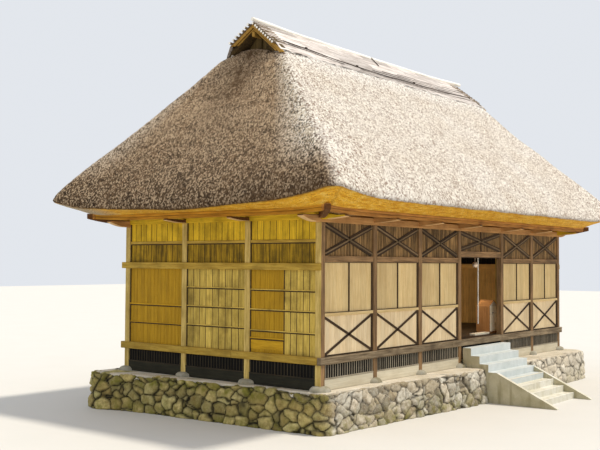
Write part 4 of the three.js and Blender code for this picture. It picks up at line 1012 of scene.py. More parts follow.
def on_ring(where, half_x, half_y, radius):
    """That place on a ring round the roof with rounded corners."""
    index, t = where
    a, b = half_x - radius, half_y - radius
    corners = [Vector((a, -b)), Vector((a, b)), Vector((-a, b)), Vector((-a, -b))]
    if index % 2:
        turn = math.pi / 2 * (index // 2 - 1 + t)
        return corners[index // 2] + radius * Vector((math.cos(turn), math.sin(turn)))
    out = (Vector((0, -radius)), Vector((radius, 0)), Vector((0, radius)), Vector((-radius, 0)))[index // 2]
    return corners[index // 2 - 1].lerp(corners[index // 2], t) + out


def lip_rise(where):
    """A place's share of the front or rear, its nearness to a corner, and how much its lip rises for it."""
    index, t = where
    bend = math.pi / 2 * t
    turned = math.cos(bend) if index in (1, 5) else math.sin(bend)
    front = turned ** 2 if index % 2 else float(index % 4 == 0)
    share = 0 if index % 2 else min(t, 1 - t) * 2
    half = lip_x if index % 4 == 0 else lip_y
    along = share * (half - LIP_RADIUS)
    front_rise = FRONT_RISE * max(0, 1 - along / FRONT_REACH) ** 3
    side_rise = SIDE_RISE * (1 - share) ** 1.4 + SIDE_FLICK * max(0, 1 - along / FLICK_REACH) ** 2
    near = max(0, 1 - along / 0.8)
    return front, near, front_rise * front + side_rise * (1 - front)


def thatch_place(where, row):
    """A place on the thatch's surface, from inside the attic out under the eave and up the slope."""
    front, near, rise = lip_rise(where)
    if row < INNER_ROWS:
        t = row / INNER_ROWS
        low = on_ring(where, HALF_X + SOFFIT_OUT, HALF_Y + SOFFIT_OUT, CUT_RADIUS)
        high = on_ring(where, ATTIC_X, ATTIC_HALF, FOOT_RADIUS / 2)
        return high.lerp(low, t), ATTIC_TOP + (EAVE_BOTTOM - ATTIC_TOP) * t
    row -= INNER_ROWS
    if row < SOFFIT_ROWS:
        out = SOFFIT_OUT + (CUT_OUT - SOFFIT_OUT) * row / SOFFIT_ROWS
        return on_ring(where, HALF_X + out, HALF_Y + out, CUT_RADIUS), EAVE_BOTTOM + 0.002
    row -= SOFFIT_ROWS
    lip = LIP_SIDE + (LIP_FRONT - LIP_SIDE) * front
    if row < CUT_ROWS:
        t = row / CUT_ROWS
        out = CUT_OUT + (LIP_OUT - CUT_OUT) * t
        radius = CUT_RADIUS + (LIP_RADIUS - CUT_RADIUS) * t
        low = EAVE_BOTTOM + (CUT_CORNER - EAVE_BOTTOM) * near ** 2
        return on_ring(where, HALF_X + out, HALF_Y + out, radius), low + (lip + rise - low) * t
    row -= CUT_ROWS
    outer = on_ring(where, lip_x, lip_y, LIP_RADIUS)
    foot = on_ring(where, GABLE_X, GABLE_HALF, FOOT_RADIUS)
    if row <= SLOPE_ROWS:
        up_share = row / SLOPE_ROWS
        inwards = up_share - 0.283 * up_share ** 0.6 * (1 - up_share) ** 1.9
        return outer.lerp(foot, inwards), lip + (GABLE_FOOT - lip) * up_share + rise * (1 - up_share) ** 3
    t = (row - SLOPE_ROWS) / RECESS_ROWS
    inner = foot.lerp(on_ring(where, RECESS_X, ATTIC_HALF, FOOT_RADIUS / 2), t)
    heap = max(0, 1 - ((inner.y - 0.16) / 0.78) ** 2) * math.sin(math.pi * t) * (1 - front)
    return inner, GABLE_FOOT + 0.10 * t + 0.17 * heap


def straw_finish():
    """Straw ends seen from outside: a speckle of butts in painted light and gaps in painted shade, strongest
    on the ends' slopes; near the hips the ends' slopes have a painted highlight.
    """
    straw = Finish("weathered_straw_and_painted_light", 0.95)
    place = straw.place()
    sunny, speckled, hip_highlight = straw.marked("sunny"), straw.marked("speckled"), straw.marked("hip_highlight")
    height = straw.node("SeparateXYZ", Vector=place).outputs["Z"]
    pale = straw.over(shade(215, 203, 188), (225, 217, 207), straw.mottle(place, 0.8, 4, 0.6), 0.38, 0.66)
    pale = straw.over(pale, (236, 232, 226), height, 7.4, 7.85)
    grey = straw.over(shade(80, 60, 38), (166, 140, 110), height, 4.5, 6.6)
    cloud = straw.curve(straw.mottle(place, 1.3, 4, 0.65), 0.38, 0.66)
    grey = straw.blend(cloud, grey, straw.blend(0.6, grey, shade(130, 100, 70)))
    # Near the hips the ends' slopes turn pale: painted highlight.
    grey = straw.blend(hip_highlight, grey, shade(222, 204, 178))
    courses = straw.mottle(straw.stretched(place, (0.8, 0.8, 6)), 1, 4, 0.6)
    body = straw.blend(sunny, straw.over(grey, (84, 64, 42), courses, 0.48, 0.66, 0.5), pale)
    place = straw.stretched(place, (1.0, 1.0, 0.75))
    bent = straw.reckoned("VectorMath", "ADD", place, straw.times(straw.mottle(place, 30, 3, 0.6), 0.04))
    butts = straw.node("TexVoronoi", Vector=bent, Scale=36.0, Randomness=1.0).outputs["Color"]
    own = straw.node("SeparateColor", Color=butts).outputs["Red"]
    own = straw.plus(own, straw.times(straw.mottle(place, 34, 4, 0.7), 0.8))
    own = straw.plus(own, straw.times(straw.mottle(place, 5, 3, 0.6), 0.5))
    # Gaps between the butts, dark on the ends' slopes and lighter in front: painted shade.
    gaps = straw.blend(sunny, shade(34, 24, 14), shade(128, 94, 70))
    body = straw.blend(straw.times(straw.times(straw.curve(own, 0.76, 1.06, 1.0, 0.0), speckled), 0.92), body,
                       gaps)
    # Lit butts, brightest in front and near the hips: painted highlight.
    tips = straw.blend(straw.plus(sunny, hip_highlight), shade(216, 188, 152), shade(255, 248, 236))
    body = straw.blend(straw.times(straw.times(straw.curve(own, 1.20, 1.48), speckled), 0.9), body, tips)
    stained = straw.times(straw.marked("stain"), straw.curve(straw.mottle(place, 5, 4, 0.65), 0.3, 0.62))
    body = straw.blend(stained, body, shade(84, 60, 34))
    straw.colour(straw.blend(straw.marked("lip_darkening"), body, shade(78, 56, 30)))
    straw.relief(straw.plus(own, straw.mottle(place, 90, 3, 0.6)), 0.018)
    return straw


def cut_straw_finish():
    """The trimmed face: golden, in faint layers, with the cut ends as dark dots; grey at the rear corners."""
    straw = Finish("cut_straw", 0.8)
    along = straw.marked("straw", "Vector")
    layers = straw.mottle(straw.stretched(along, (1.5, 16, 1)), 1, 4, 0.6)
    body = straw.over(shade(244, 192, 56), (212, 150, 28), layers, 0.35, 0.65)
    clumps = straw.mottle(straw.stretched(along, (4, 7, 1)), 1, 4, 0.65)
    body = straw.over(body, (250, 214, 110), clumps, 0.5, 0.72, 0.9)
    body = straw.blend(straw.curve(clumps, 0.32, 0.46, 0.7, 0.0), body, shade(190, 120, 18))
    ends = straw.mottle(straw.stretched(along, (34, 45, 1)), 1, 3, 0.6)
    body = straw.over(body, (116, 70, 14), ends, 0.50, 0.66, 0.8)
    body = straw.blend(straw.marked("grey"), body,
                       straw.over(shade(196, 178, 146), (120, 100, 76), ends, 0.45, 0.6))
    # Darker along the lip.
    straw.colour(straw.blend(straw.marked("lip_darkening"), body, shade(88, 58, 24)))
    straw.relief(straw.plus(ends, layers), 0.012)
    return straw


def shaded_straw_finish():
    straw = Finish("shaded_straw", 0.95)
    ends = straw.mottle(straw.place(), 40, 4, 0.65)
    straw.colour(straw.over(shade(52, 40, 24), (104, 82, 46), ends, 0.4, 0.62))
    straw.relief(ends, 0.02)
    return straw


weathered_straw_and_painted_light, cut_straw, shaded_straw = straw_finish(), cut_straw_finish(), shaded_straw_finish()


def bundle():
    """A bare mesh with the marks that the straw finishes read."""
    made = bmesh.new()
    made.verts.layers.float_vector.new("straw")
    for name in ("sunny", "speckled", "grey", "lip_darkening", "stain", "hip_highlight"):
        made.verts.layers.float.new(name)
    return made


def ruffle(made, verts, lump, tuft):
    """Trimmed straw is uneven: low lumps, with tufts of the bundles' ends on them."""
    made.normal_update()
    moves = []
    for vert in verts:
        rough = lump * noise.noise(vert.co * 1.1) + tuft * noise.noise(vert.co * 17)
        rough += 0.7 * tuft * noise.noise(vert.co * 41)
        moves.append(vert.normal * rough)
    for vert, move in zip(verts, moves):
        vert.co += move


def thatch():
    made = bundle()
    straw = made.verts.layers.float_vector["straw"]
    sunny, speckled, grey, lip_darkening, stain, hip_highlight = made.verts.layers.float.values()
    rows = lip_row + SLOPE_ROWS + RECESS_ROWS
    bmesh.ops.create_grid(made, x_segments=THATCH_COLUMNS, y_segments=rows, size=0.5)
    outside, stations = [], {}
    for vert in made.verts:
        column = round((vert.co.x + 0.5) * THATCH_COLUMNS)
        row = round((vert.co.y + 0.5) * rows)
        if column not in stations:
            stations[column] = station(column / THATCH_COLUMNS)
        where = stations[column]
        flat, z = thatch_place(where, row)
        front = lip_rise(where)[0]
        vert.co = Vector((flat.x, flat.y, z))
        vert[straw] = Vector((column / THATCH_COLUMNS * lip_round, (row - lip_row) * COURSE_HIGH, 0))
        vert[sunny] = front
        climb = max(0, (z - LIP_FRONT) / (GABLE_FOOT - LIP_FRONT))
        from_hip = lip_x - (lip_x - GABLE_X) * climb - abs(flat.x)
        vert[speckled] = (1 - front) * 0.74 + front * (0.74 + 0.2 * max(0, 1 - from_hip / 1.6))
        vert[grey] = min(1, max(0, (flat.y - 2.2) / 0.7)) if row < lip_row else 0
        # Darker along the lip, more on the ends' slopes than in front.
        vert[lip_darkening] = max(0, 1 - abs(row - lip_row) / 1.2) * (0.85 - 0.55 * front) if row >= lip_row - 1 else 0
        up_share = (row - lip_row) / SLOPE_ROWS
        middle = max(0, 1 - abs(flat.y) / (0.45 + 1.6 * (1 - up_share))) if up_share > 0 else 0
        under_gable = min(1, max(0, (up_share - 0.45) / 0.4)) * middle
        low_corner = max(0, 1 - max(0, up_share) / 0.26) * max(0, -flat.y / lip_y) if row > lip_row else 0
        vert[stain] = (1 - front) * max(under_gable, 0.95 * low_corner)
        # Near the front hips the ends' slopes get a painted highlight and more of the painted speckle.
        to_hip = max(0, 1 - (max(0, 1 - abs(flat.y) / max(0.3, lip_y - 3.0 * up_share)) * 3.2))
        to_hip *= 1 if flat.y < 0 else 0.4
        vert[hip_highlight] = (1 - front) * to_hip * min(1, max(0, (up_share - 0.16) / 0.2))
        vert[speckled] += (1 - front) * to_hip * 0.26
        if INNER_ROWS + SOFFIT_ROWS + 1 <= row:
            outside.append(vert)
    for face in made.faces:
        middle_row = sum(v[straw].y for v in face.verts) / len(face.verts)
        face.material_index = 1 if middle_row < 0 else 0
    smooth(made)
    bmesh.ops.remove_doubles(made, verts=made.verts[:], dist=0.0015)
    closed(made)
    outward(made)
    ruffle(made, [v for v in outside if v.is_valid], 0.030, 0.012)
    stands_for = ["thatch_front", "thatch_rear", "thatch_left", "thatch_right"]
    return piece(made, "thatch_slopes", [weathered_straw_and_painted_light, cut_straw], stands_for)


def tufts(made):
    """Short upright ends of straw behind the gables' openings."""
    rng = random.Random(31)
    faces = set()
    for _ in range(TUFTS):
        x, y = rng.uniform(4.30, 4.66) * rng.choice((-1, 1)), rng.uniform(-0.62, 0.62)
        lean = Matrix.Rotation(rng.uniform(-0.5, 0.5), 4, "X")
        lean @= Matrix.Rotation(rng.uniform(0.1, 0.9) * math.copysign(1, x), 4, "Y")
        high = rng.uniform(0.05, 0.17) * (1 - abs(y) / 0.9)
        place = Matrix.Translation((x, y, GABLE_FOOT + 0.03)) @ lean @ Matrix.Translation((0, 0, high / 2))
        verts = bmesh.ops.create_cone(made, cap_ends=True, segments=5, radius1=0.012, radius2=0.004,
                                      depth=high, matrix=place)["verts"]
        faces |= {f for v in verts for f in v.link_faces}
    return faces


def thatch_crown():
    """The flatter thatch on both sides of the ridge, and its cut ends round the gables."""
    made = bundle()
    straw = made.verts.layers.float_vector["straw"]
    sunny, speckled = made.verts.layers.float["sunny"], made.verts.layers.float["speckled"]
    low = GABLE_FOOT + 0.012
    outline = [(-GABLE_HALF, GABLE_FOOT), (0, THATCH_PEAK), (GABLE_HALF, GABLE_FOOT), (CROWN_INNER, low),
               (0, CROWN_INNER_PEAK), (-CROWN_INNER, low)]
    ring = []
    for (a, b), count in zip(zip(outline, outline[1:] + outline[:1]), CROWN_RINGS):
        ring += [(a[0] + (b[0] - a[0]) * k / count, a[1] + (b[1] - a[1]) * k / count) for k in range(count)]
    bmesh.ops.create_grid(made, x_segments=CROWN_COLUMNS, y_segments=len(ring), size=0.5)
    for vert in made.verts:
        y, z = ring[round((vert.co.y + 0.5) * len(ring)) % len(ring)]
        x = vert.co.x * 2 * (GABLE_X - GABLE_LEAN * (z - GABLE_FOOT) - 0.7 * max(0, y - 0.55))
        vert.co = Vector((x, y, z))
        vert[straw] = Vector((x, y, 0))
        vert[sunny], vert[speckled] = 1.0, 0.25
    bmesh.ops.remove_doubles(made, verts=made.verts[:], dist=0.001)
    ends = closed(made)
    outward(made)
    ruffle(made, [v for v in made.verts if abs(v.co.z - THATCH_PEAK) > 0.01], 0.012, 0.010)
    smooth(made)
    upright = tufts(made)
    slope = (THATCH_PEAK - GABLE_FOOT) / GABLE_HALF
    # Faces under the crown's slope, its cut ends near the middle and the tufts take the shaded straw: painted
    # shade.
    for face in made.faces:
        middle = face.calc_center_median()
        under = THATCH_PEAK - slope * abs(middle.y) - middle.z > 0.05 or face in ends
        if (under and abs(middle.y) < 0.60) or face in upright:
            face.material_index = 1
    return piece(made, "thatch_crown", [weathered_straw_and_painted_light, shaded_straw])


thatch()
thatch_crown()


# Gables: a dark board wall set back in each opening, an upright before it, the end of the ridge pole, and a
# pair of narrow bargeboards with a thin strip inside them.
BARGE_FOOT_Y, BARGE_FOOT_Z, BARGE_THICK, BARGE_DEEP, REAR_FOOT_UP = 1.01, 7.768, 0.048, 0.098, 0.34
RECESS_HALF, RECESS_FOOT, RECESS_PEAK, RECESS_BOARDS = 0.66, 7.85, 8.43, 11
barge_slope = (THATCH_PEAK - BARGE_FOOT_Z) / BARGE_FOOT_Y
gable_timber = timber_finish("bargeboard_timber", (182, 142, 66), (146, 106, 42), (108, 78, 36), 0.45, 0.8)
gable_board = timber_finish("gable_boards", (112, 92, 52), (58, 47, 26), (124, 100, 58), 0.5, 0.9)


def sloped_board(made, sign, x0, x1, top, deep, foot, finish, tint):
    """A board along one edge of the gable, leaning back with it and cut off level at its foot. Its top is
    how far it lies under the thatch's edge."""
    grain, shade_of = wood_marks(made)
    low = (THATCH_PEAK - top - deep - foot) / barge_slope
    high = (THATCH_PEAK - top - foot) / barge_slope
    outline = [(0, THATCH_PEAK - top), (0, THATCH_PEAK - top - deep), (sign * low, foot), (sign * high, foot)]
    verts = [made.verts.new((x0, y, z)) for y, z in outline]
    verts += drawn_out(made, verts, (x1 - x0, 0, 0))
    verts = soften(made, list({e for v in verts for e in v.link_edges}), 0.005)
    for vert in verts:
        vert[grain] = Vector((math.hypot(vert.co.y, vert.co.z), vert.co.x, vert.co.z * 0.6 + vert.co.y * 0.8))
        vert[shade_of] = tint
    for face in {f for v in verts for f in v.link_faces}:
        face.material_index = finish
    for vert in verts:
        vert.co.x -= math.copysign(GABLE_LEAN * (vert.co.z - GABLE_FOOT), vert.co.x)


def gable(side):
    """Finishes: 0 bargeboards and pole, 1 the dark boards and the strip of painted shade under the canes."""
    made = carcass()
    pitch = 2 * RECESS_HALF / RECESS_BOARDS
    for i in range(RECESS_BOARDS):
        y = -RECESS_HALF + (i + 0.5) * pitch
        face = RECESS_X + 0.028 + chance.uniform(0, 0.006)
        timber(made, (RECESS_X + 0.004, y - pitch / 2 + 0.002, RECESS_FOOT - 0.01),
               (face, y + pitch / 2 - 0.002, RECESS_PEAK), "Z", 0.003, finish=1)
    for sign in (-1, 1):
        normal = Vector((0, sign * (RECESS_PEAK - RECESS_FOOT), RECESS_HALF))
        bmesh.ops.bisect_plane(made, geom=made.verts[:] + made.edges[:] + made.faces[:], dist=1e-5,
                               plane_co=(0, 0, RECESS_PEAK - 0.006), plane_no=normal, clear_outer=True)
        closed(made)
    timber(made, (RECESS_X + 0.03, -0.03, RECESS_FOOT - 0.01), (RECESS_X + 0.075, 0.03, 8.28), "Z", 0.005,
           0.0, finish=1)
    timber(made, (RECESS_X + 0.02, -0.04, 8.27), (GABLE_X - 0.11, 0.04, 8.388), "X", 0.012, 0.6)
    outside = GABLE_X + 0.001
    rear = 1 if side == "right" else -1
    for sign, tint in ((-1, 0.85), (1, 0.75)):
        inner = outside if sign < 0 else outside + 0.002
        foot = BARGE_FOOT_Z + (REAR_FOOT_UP if sign == rear else 0.0)
        sloped_board(made, sign, inner, outside + BARGE_THICK, 0, BARGE_DEEP, foot, 0, tint)
        strip_foot, shade_strip_foot = max(foot, GABLE_FOOT + 0.03), max(foot + 0.04, GABLE_FOOT + 0.10)
        sloped_board(made, sign, outside - 0.03, outside + 0.012, BARGE_DEEP + 0.02, 0.026, strip_foot, 0,
                     1.0)
        # A dark strip under the canes' ends fills the gaps between them with painted shade.
        sloped_board(made, sign, outside - 0.14, outside - 0.02, -0.046, 0.052, shade_strip_foot, 1, 0.0)
    outward(made)
    if side == "left":
        bmesh.ops.transform(made, verts=made.verts[:], matrix=Matrix.Rotation(math.pi, 4, "Z"))
    return piece(made, side + "_gable_boards", [gable_timber, gable_board], [side + "_gable"])


gable("left")
gable("right")


# Ridge cover: bamboo canes along the slope under courses of bark, whose ends show as a row of discs over the
# bargeboards; a pole holds the fold down, and thin dark rods with ties lie on the front.
COVER_THICK, COVER_END, COURSES, COURSE_DOWN = 0.040, 4.77, 5, 0.185
CANE_PITCH, CANE_LONG = 0.074, 0.5
RIDGE_LINE = [(-4.62, 8.658), (-2.90, 8.618), (0, 8.608), (2.90, 8.612), (4.94, 8.662)]
ROD_LINE = [(-4.27, -0.602), (-3.72, -0.645), (-2.35, -0.776), (-0.71, -0.829), (1.00, -0.779),
            (2.43, -0.753), (4.42, -0.636)]
# Each rod: its ends, how far below the first it lies, and its radius.
RODS = ((-4.27, 4.42, 0, 0.011), (-4.2, -2.3, 0.085, 0.007), (-1.6, 2.9, 0.06, 0.006),
        (-0.9, 3.4, -0.10, 0.006), (-0.3, 4.3, -0.19, 0.006), (0.6, 4.35, -0.28, 0.005),
        (-0.1, 4.2, 0.12, 0.006))
TIES = (-3.50, -1.67, 1.00)
crown_slope = (THATCH_PEAK - GABLE_FOOT) / GABLE_HALF
ridge_bark = timber_finish("bleached_bark", (230, 222, 216), (160, 148, 140), (198, 186, 178), 0.35, 1.0, 0.9)
cane_end = timber_finish("bleached_cane_ends", (244, 240, 230), (222, 212, 196), (190, 176, 152), 0.2, 0.3)
cane_skin = timber_finish("weathered_canes", (120, 100, 74), (84, 68, 48), (60, 48, 34), 0.4, 0.6)
dark_rod = timber_finish("dark_rods", (96, 84, 76), (66, 56, 50), (52, 44, 40), 0.4)


def rod(made, points, radius, sides, finish, tint, rough=0.0, end_finish=None):
    """A round pole or cane through points, closed at both ends."""
    grain, shade_of = wood_marks(made)
    points = [Vector(p) for p in points]
    rings = []
    for i, place in enumerate(points):
        along = (points[min(i + 1, len(points) - 1)] - points[max(i - 1, 0)]).normalized()
        side = along.cross(Vector((0, 0, 1) if abs(along.z) < 0.9 else (1, 0, 0))).normalized()
        top = side.cross(along)
        ring = []
        for k in range(sides):
            turn = k / sides * math.tau
            wide = radius * (1 + rough * noise.noise(place * 6 + Vector((k * 0.7, 0, 0))))
            vert = made.verts.new(place + (side * math.cos(turn) + top * math.sin(turn)) * wide)
            vert[grain] = Vector((i * 0.2, turn * radius, radius))
            vert[shade_of] = tint
            ring.append(vert)
        rings.append(ring)
    for end in (rings[0][::-1], rings[-1]):
        made.faces.new(end).material_index = finish if end_finish is None else end_finish
    for a, b in zip(rings, rings[1:]):
        for k in range(sides):
            face = made.faces.new((a[k], a[(k + 1) % sides], b[(k + 1) % sides], b[k]))
            face.material_index, face.smooth = finish, True


def along_line(line, x):
    """The value of a bent line of (x, value) points at x, eased between them."""
    for (x0, v0), (x1, v1) in zip(line, line[1:]):
        if x <= x1 or (x1, v1) == line[-1]:
            t = min(max((x - x0) / (x1 - x0), 0), 1)
            return v0 + (v1 - v0) * t * t * (3 - 2 * t)


def bark_sheet(made, x0, x1, down, wide, sign, lift, ragged):
    """A thin sheet on the crown's slope, from down to down + wide below the fold, a little wavy."""
    grain, shade_of = wood_marks(made)
    columns = max(2, round((x1 - x0) / 0.12))
    grid = bmesh.ops.create_grid(made, x_segments=columns, y_segments=3, size=0.5)["verts"]
    tint, shift = chance.random(), chance.uniform(-9, 9)
    for vert in grid:
        t = vert.co.y + 0.5
        y = down + wide * t
        level = THATCH_PEAK - crown_slope * y + lift - (0.034 if ragged else 0.010) * t
        end = COVER_END - GABLE_LEAN * (level - GABLE_FOOT) - 0.02
        end -= 0.8 * max(0, y - 0.60) if sign > 0 else 0
        start, stop = max(x0, -end), min(x1, end)
        x = start + (vert.co.x + 0.5) * (stop - start)
        wave = 0.006 * noise.noise(Vector((x * 2.1, y * 3, shift)))
        torn, uneven = (noise.noise(Vector((x * scale, shift, t))) for scale in (9, 5))
        edge = (ragged * torn + 0.007 * uneven) * t
        vert.co = Vector((x, sign * (y + edge), level + wave))
        vert[grain] = Vector((x, y, shift))
        vert[shade_of] = tint
    faces = list({f for v in grid for f in v.link_faces})
    if sign < 0:
        bmesh.ops.reverse_faces(made, faces=faces)
    bmesh.ops.solidify(made, geom=faces, thickness=0.010)


def bark(made):
    for sign in (-1, 1):
        for course in range(COURSES):
            lowest = course == COURSES - 1
            wide, ragged = (COURSE_DOWN, 0.06) if lowest else (0.21, 0.0)
            x = -COVER_END
            long = chance.uniform(0.7, 1.9)
            while x < COVER_END - 0.6:
                stop = x + long if x + long < COVER_END - 0.6 else COVER_END
                lift = 0.052 - course * 0.001 + chance.uniform(-0.002, 0.002)
                bark_sheet(made, x, min(stop + 0.04, COVER_END), 0.015 + course * COURSE_DOWN, wide, sign,
                           lift, ragged)
                x = stop
                long = chance.uniform(1.1, 1.9)
    outward(made)


def canes(made):
    for end in (-1, 1):
        for sign, lowest in ((-1, 0.80), (1, 0.62)):
            count = round(lowest / CANE_PITCH)
            for k in range(1, count):
                down = lowest * k / count
                z = THATCH_PEAK - crown_slope * down + 0.024
                tip = COVER_END + 0.07 - GABLE_LEAN * (z - GABLE_FOOT) + chance.uniform(0.0, 0.02)
                ends = [(end * (tip - CANE_LONG), sign * down, z), (end * tip, sign * down, z)]
                rod(made, ends, chance.uniform(0.026, 0.030), 12, 3, chance.uniform(0.7, 1.0), 0.0, 1)


def rods_and_ties(made):
    for start, end, lower, thick in RODS:
        steps = round((end - start) / 0.25)
        points = []
        for k in range(steps + 1):
            x = start + (end - start) * k / steps
            y = along_line(ROD_LINE, x) - lower + 0.012 * noise.noise(Vector((x * 1.7, lower * 9, 0)))
            points.append((x, y, THATCH_PEAK + crown_slope * y + COVER_THICK + 0.012 + thick * 0.7))
        rod(made, points, thick, 8, 2, 0.4, 0.3)
    for x in TIES:
        y = along_line(ROD_LINE, x)
        z = THATCH_PEAK + crown_slope * y + COVER_THICK + 0.022
        loop = [(x - 0.03, y + 0.01, z), (x - 0.012, y, z + 0.012), (x + 0.012, y, z + 0.012),
                (x + 0.03, y - 0.01, z)]
        rod(made, loop, 0.022, 10, 2, 0.2, 0.4)
    rod(made, [(0.10, -0.02, 8.64), (0.02, -0.18, 8.50), (-0.07, -0.37, 8.345)], 0.012, 8, 2, 0.4)


def ridge_cover():
    """Finishes: 0 bark, 1 cane ends and the ridge pole, 2 dark rods, 3 the canes' weathered skins."""
    made = carcass()
    bark(made)
    canes(made)
    low, high = RIDGE_LINE[0][0], RIDGE_LINE[-1][0]
    line = [low + (high - low) * k / 60 for k in range(61)]
    rod(made, [(x, 0.004 * math.sin(x * 2), along_line(RIDGE_LINE, x)) for x in line], 0.045, 14, 1, 0.95,
        0.25)
    rods_and_ties(made)
    finishes = [ridge_bark, cane_end, dark_rod, cane_skin]
    return piece(made, "ridge_bark_and_poles", finishes, ["ridge_cover"])


ridge_cover()


# Bell: a round bell of sheet brass, spun, hung by a stem from the door head's cleat, with a band round its
# middle where its halves meet.
BELL_RADIUS, BELL_CENTRE, BELL_BAND, STEM_RADIUS = 0.075, 3.215, 0.006, 0.009


def brass_finish():
    brass = Finish("worn_brass_and_painted_light", 0.42, 0.35)
    place = brass.place()
    # Paler than brass, so that the bell in the doorway's shade reads bright: partly painted light.
    brass.colour(brass.over(shade(252, 232, 208), (222, 190, 154), brass.mottle(place, 18, 5, 0.65), 0.35,
                            0.68))
    brass.relief(brass.mottle(place, 90, 4), 0.001)
    return brass


def bell():
    made = bmesh.new()
    outline = [(0.0, BELL_CENTRE - BELL_RADIUS)]
    for k in range(1, 12):
        turn = math.pi * k / 12.5
        radius = BELL_RADIUS - BELL_BAND + (BELL_BAND if k == 6 else 0)
        outline.append((radius * math.sin(turn), BELL_CENTRE - BELL_RADIUS * math.cos(turn)))
    shoulder, stem_top = BELL_CENTRE + BELL_RADIUS, CLEAT_BOTTOM - 0.001
    outline += [(0.018, shoulder - 0.002), (STEM_RADIUS, shoulder + 0.008), (STEM_RADIUS, stem_top),
                (0.0, stem_top)]
    verts = [made.verts.new((BELL_X + r, BELL_Y, z)) for r, z in outline]
    edges = [made.edges.new(pair) for pair in zip(verts, verts[1:])]
    bmesh.ops.spin(made, geom=verts + edges, cent=(BELL_X, BELL_Y, 0), axis=(0, 0, 1), angle=math.tau,
                   steps=28, use_merge=True)
    bmesh.ops.remove_doubles(made, verts=made.verts[:], dist=0.0004)
    outward(made)
    smooth(made)
    return piece(made, "brass_bell", [brass_finish()], ["bell"])


bell()


# Bell rope: three strands of white cotton laid together, 36 mm thick and a little soiled. It hangs from the
# cleat beside the bell, and its lower end is free.
ROPE_RADIUS, ROPE_END, ROPE_TURN = 0.018, 1.73, 0.12
STRAND_AWAY, STRAND_RADIUS, ROPE_STEPS = 0.0096, 0.0092, 150


def cotton_finish():
    cotton = Finish("cotton_rope", 0.95)
    fibres = cotton.mottle(cotton.stretched(cotton.place(), (1, 1, 0.35)), 160, 4, 0.6)
    body = cotton.over(shade(248, 246, 240), (226, 220, 206), fibres, 0.35, 0.65)
    cotton.colour(cotton.over(body, (176, 160, 132), cotton.mottle(cotton.place(), 5, 4), 0.45, 0.7, 0.6))
    cotton.relief(fibres, 0.002)
    return cotton


def rope():
    made = carcass()
    top = CLEAT_BOTTOM - 0.0003
    long = top - ROPE_END
    for strand in range(3):
        points = []
        for k in range(ROPE_STEPS + 1):
            z = top - long * k / ROPE_STEPS
            turn = (top - z) / ROPE_TURN * math.tau + strand * math.tau / 3
            points.append((ROPE_X + STRAND_AWAY * math.cos(turn), BELL_Y + STRAND_AWAY * math.sin(turn), z))
        rod(made, points, STRAND_RADIUS, 8, 0, 0.9)
    obj = piece(made, "twisted_bell_rope", [cotton_finish()], ["bell_rope"])


rope()


# Offering box: boards of cedar, the front painted pale as light and the sides warmer and darker as shade,
# nailed together under a slatted lid like a little roof. A low board stands beside it.
BOX_LEFT, BOX_RIGHT, BOX_FRONT, BOX_REAR = 1.95, 2.45, -HALF_Y + 0.25, -HALF_Y + 0.63
BOX_SHOULDER, BOX_PEAK, BOX_FOOT, PLINTH_BOARD, BOX_BOARD = 2.14, 2.30, FLOOR_TOP + 0.001, 0.06, 0.022
LOW_LEFT, LOW_REAR, LOW_TOP = 1.15, -HALF_Y + 0.40, 1.482
SLATS = 7
pale_box_boards_painted_light = timber_finish("box_front_boards_painted_light", (255, 244, 216), (250, 230, 192), (232, 206, 160), 0.2, 0.4)
warm_box_boards_painted_shade = timber_finish("box_side_boards_painted_shade", (200, 142, 84), (156, 106, 60), (118, 78, 44), 0.4, 0.8)


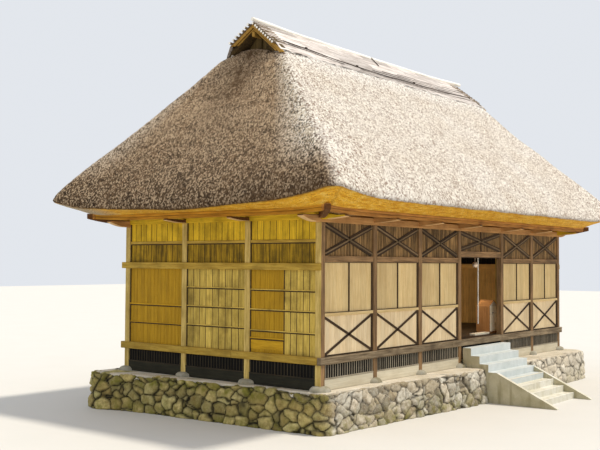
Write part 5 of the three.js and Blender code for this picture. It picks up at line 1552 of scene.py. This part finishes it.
def box_lid(made):
    """Slats down both slopes, a small gable board at each end and the capping."""
    across, half_across = (BOX_LEFT + BOX_RIGHT) / 2, (BOX_RIGHT - BOX_LEFT) / 2
    deep, half_deep, rise = (BOX_FRONT + BOX_REAR) / 2, (BOX_REAR - BOX_FRONT) / 2, BOX_PEAK - BOX_SHOULDER
    for sign in (-1, 1):
        turn = Matrix.Rotation(sign * math.atan2(rise, half_across), 4, "Y")
        for k in range(SLATS):
            t = (k + 0.5) / SLATS
            middle = Vector((across + sign * half_across * (1 - t), deep, BOX_SHOULDER + rise * t - 0.012))
            half = Vector((math.hypot(half_across, rise) / SLATS * 0.34, half_deep - 0.001, 0.009))
            timber(made, middle - half, middle + half, "Y", 0.003, None, turn, 1)
    for y in (BOX_FRONT + 0.001, BOX_REAR - 0.023):
        outline = ((BOX_LEFT + 0.004, BOX_SHOULDER - 0.002), (BOX_RIGHT - 0.004, BOX_SHOULDER - 0.002),
                   (across, BOX_PEAK - 0.026))
        drawn_out(made, [made.verts.new((x, y, z)) for x, z in outline], (0, 0.02, 0))
    ridge, half = Vector((across, deep, BOX_PEAK - 0.014)), Vector((0.022, 0.188, 0.012))
    timber(made, ridge - half, ridge + half, "Y", 0.004, 0.6, finish=1)


def offering_box():
    """Finishes: 0 pale front, painted light; 1 warm sides and slats, painted shade; 2 dark inside and slot.
    """
    made = carcass()
    timber(made, (BOX_LEFT + 0.02, BOX_FRONT + 0.02, BOX_FOOT),
           (BOX_RIGHT - 0.02, BOX_REAR - 0.02, BOX_SHOULDER - 0.03), "X", finish=2)
    base = BOX_FOOT + PLINTH_BOARD
    high = (BOX_SHOULDER - BOX_FOOT - PLINTH_BOARD) / 3
    for y0, y1 in ((BOX_FRONT, BOX_FRONT + BOX_BOARD), (BOX_REAR - BOX_BOARD, BOX_REAR)):
        for k in range(3):
            z = base + k * high
            timber(made, (BOX_LEFT + 0.03, y0, z + 0.001), (BOX_RIGHT - 0.03, y1, z + high - 0.001), "X",
                   0.003)
        timber(made, (BOX_LEFT, y0, BOX_FOOT), (BOX_RIGHT, y1, base), "X", 0.004, 0.3, finish=1)
    for x0, x1 in ((BOX_LEFT, BOX_LEFT + 0.03), (BOX_RIGHT - 0.03, BOX_RIGHT)):
        timber(made, (x0, BOX_FRONT, BOX_FOOT), (x1, BOX_REAR, BOX_SHOULDER), "Z", 0.004, finish=1)
    box_lid(made)
    timber(made, (LOW_LEFT, BOX_FRONT, BOX_FOOT), (BOX_LEFT - 0.002, LOW_REAR, LOW_TOP), "X", 0.005, 1.0)
    # The slot is a dark disc on the front: painted shade.
    hole = Matrix.Translation((BOX_LEFT + 0.2, BOX_FRONT - 0.0005, BOX_SHOULDER - 0.17))
    disc = bmesh.ops.create_cone(made, cap_ends=True, segments=16, radius1=0.022, radius2=0.022, depth=0.004,
                                 matrix=hole @ Matrix.Rotation(math.pi / 2, 4, "X"))
    for face in {f for v in disc["verts"] for f in v.link_faces}:
        face.material_index = 2
    outward(made)
    return piece(made, "offering_box_boards", [pale_box_boards_painted_light, warm_box_boards_painted_shade, dark_strip_and_painted_shadow], ["offering_box"])


offering_box()
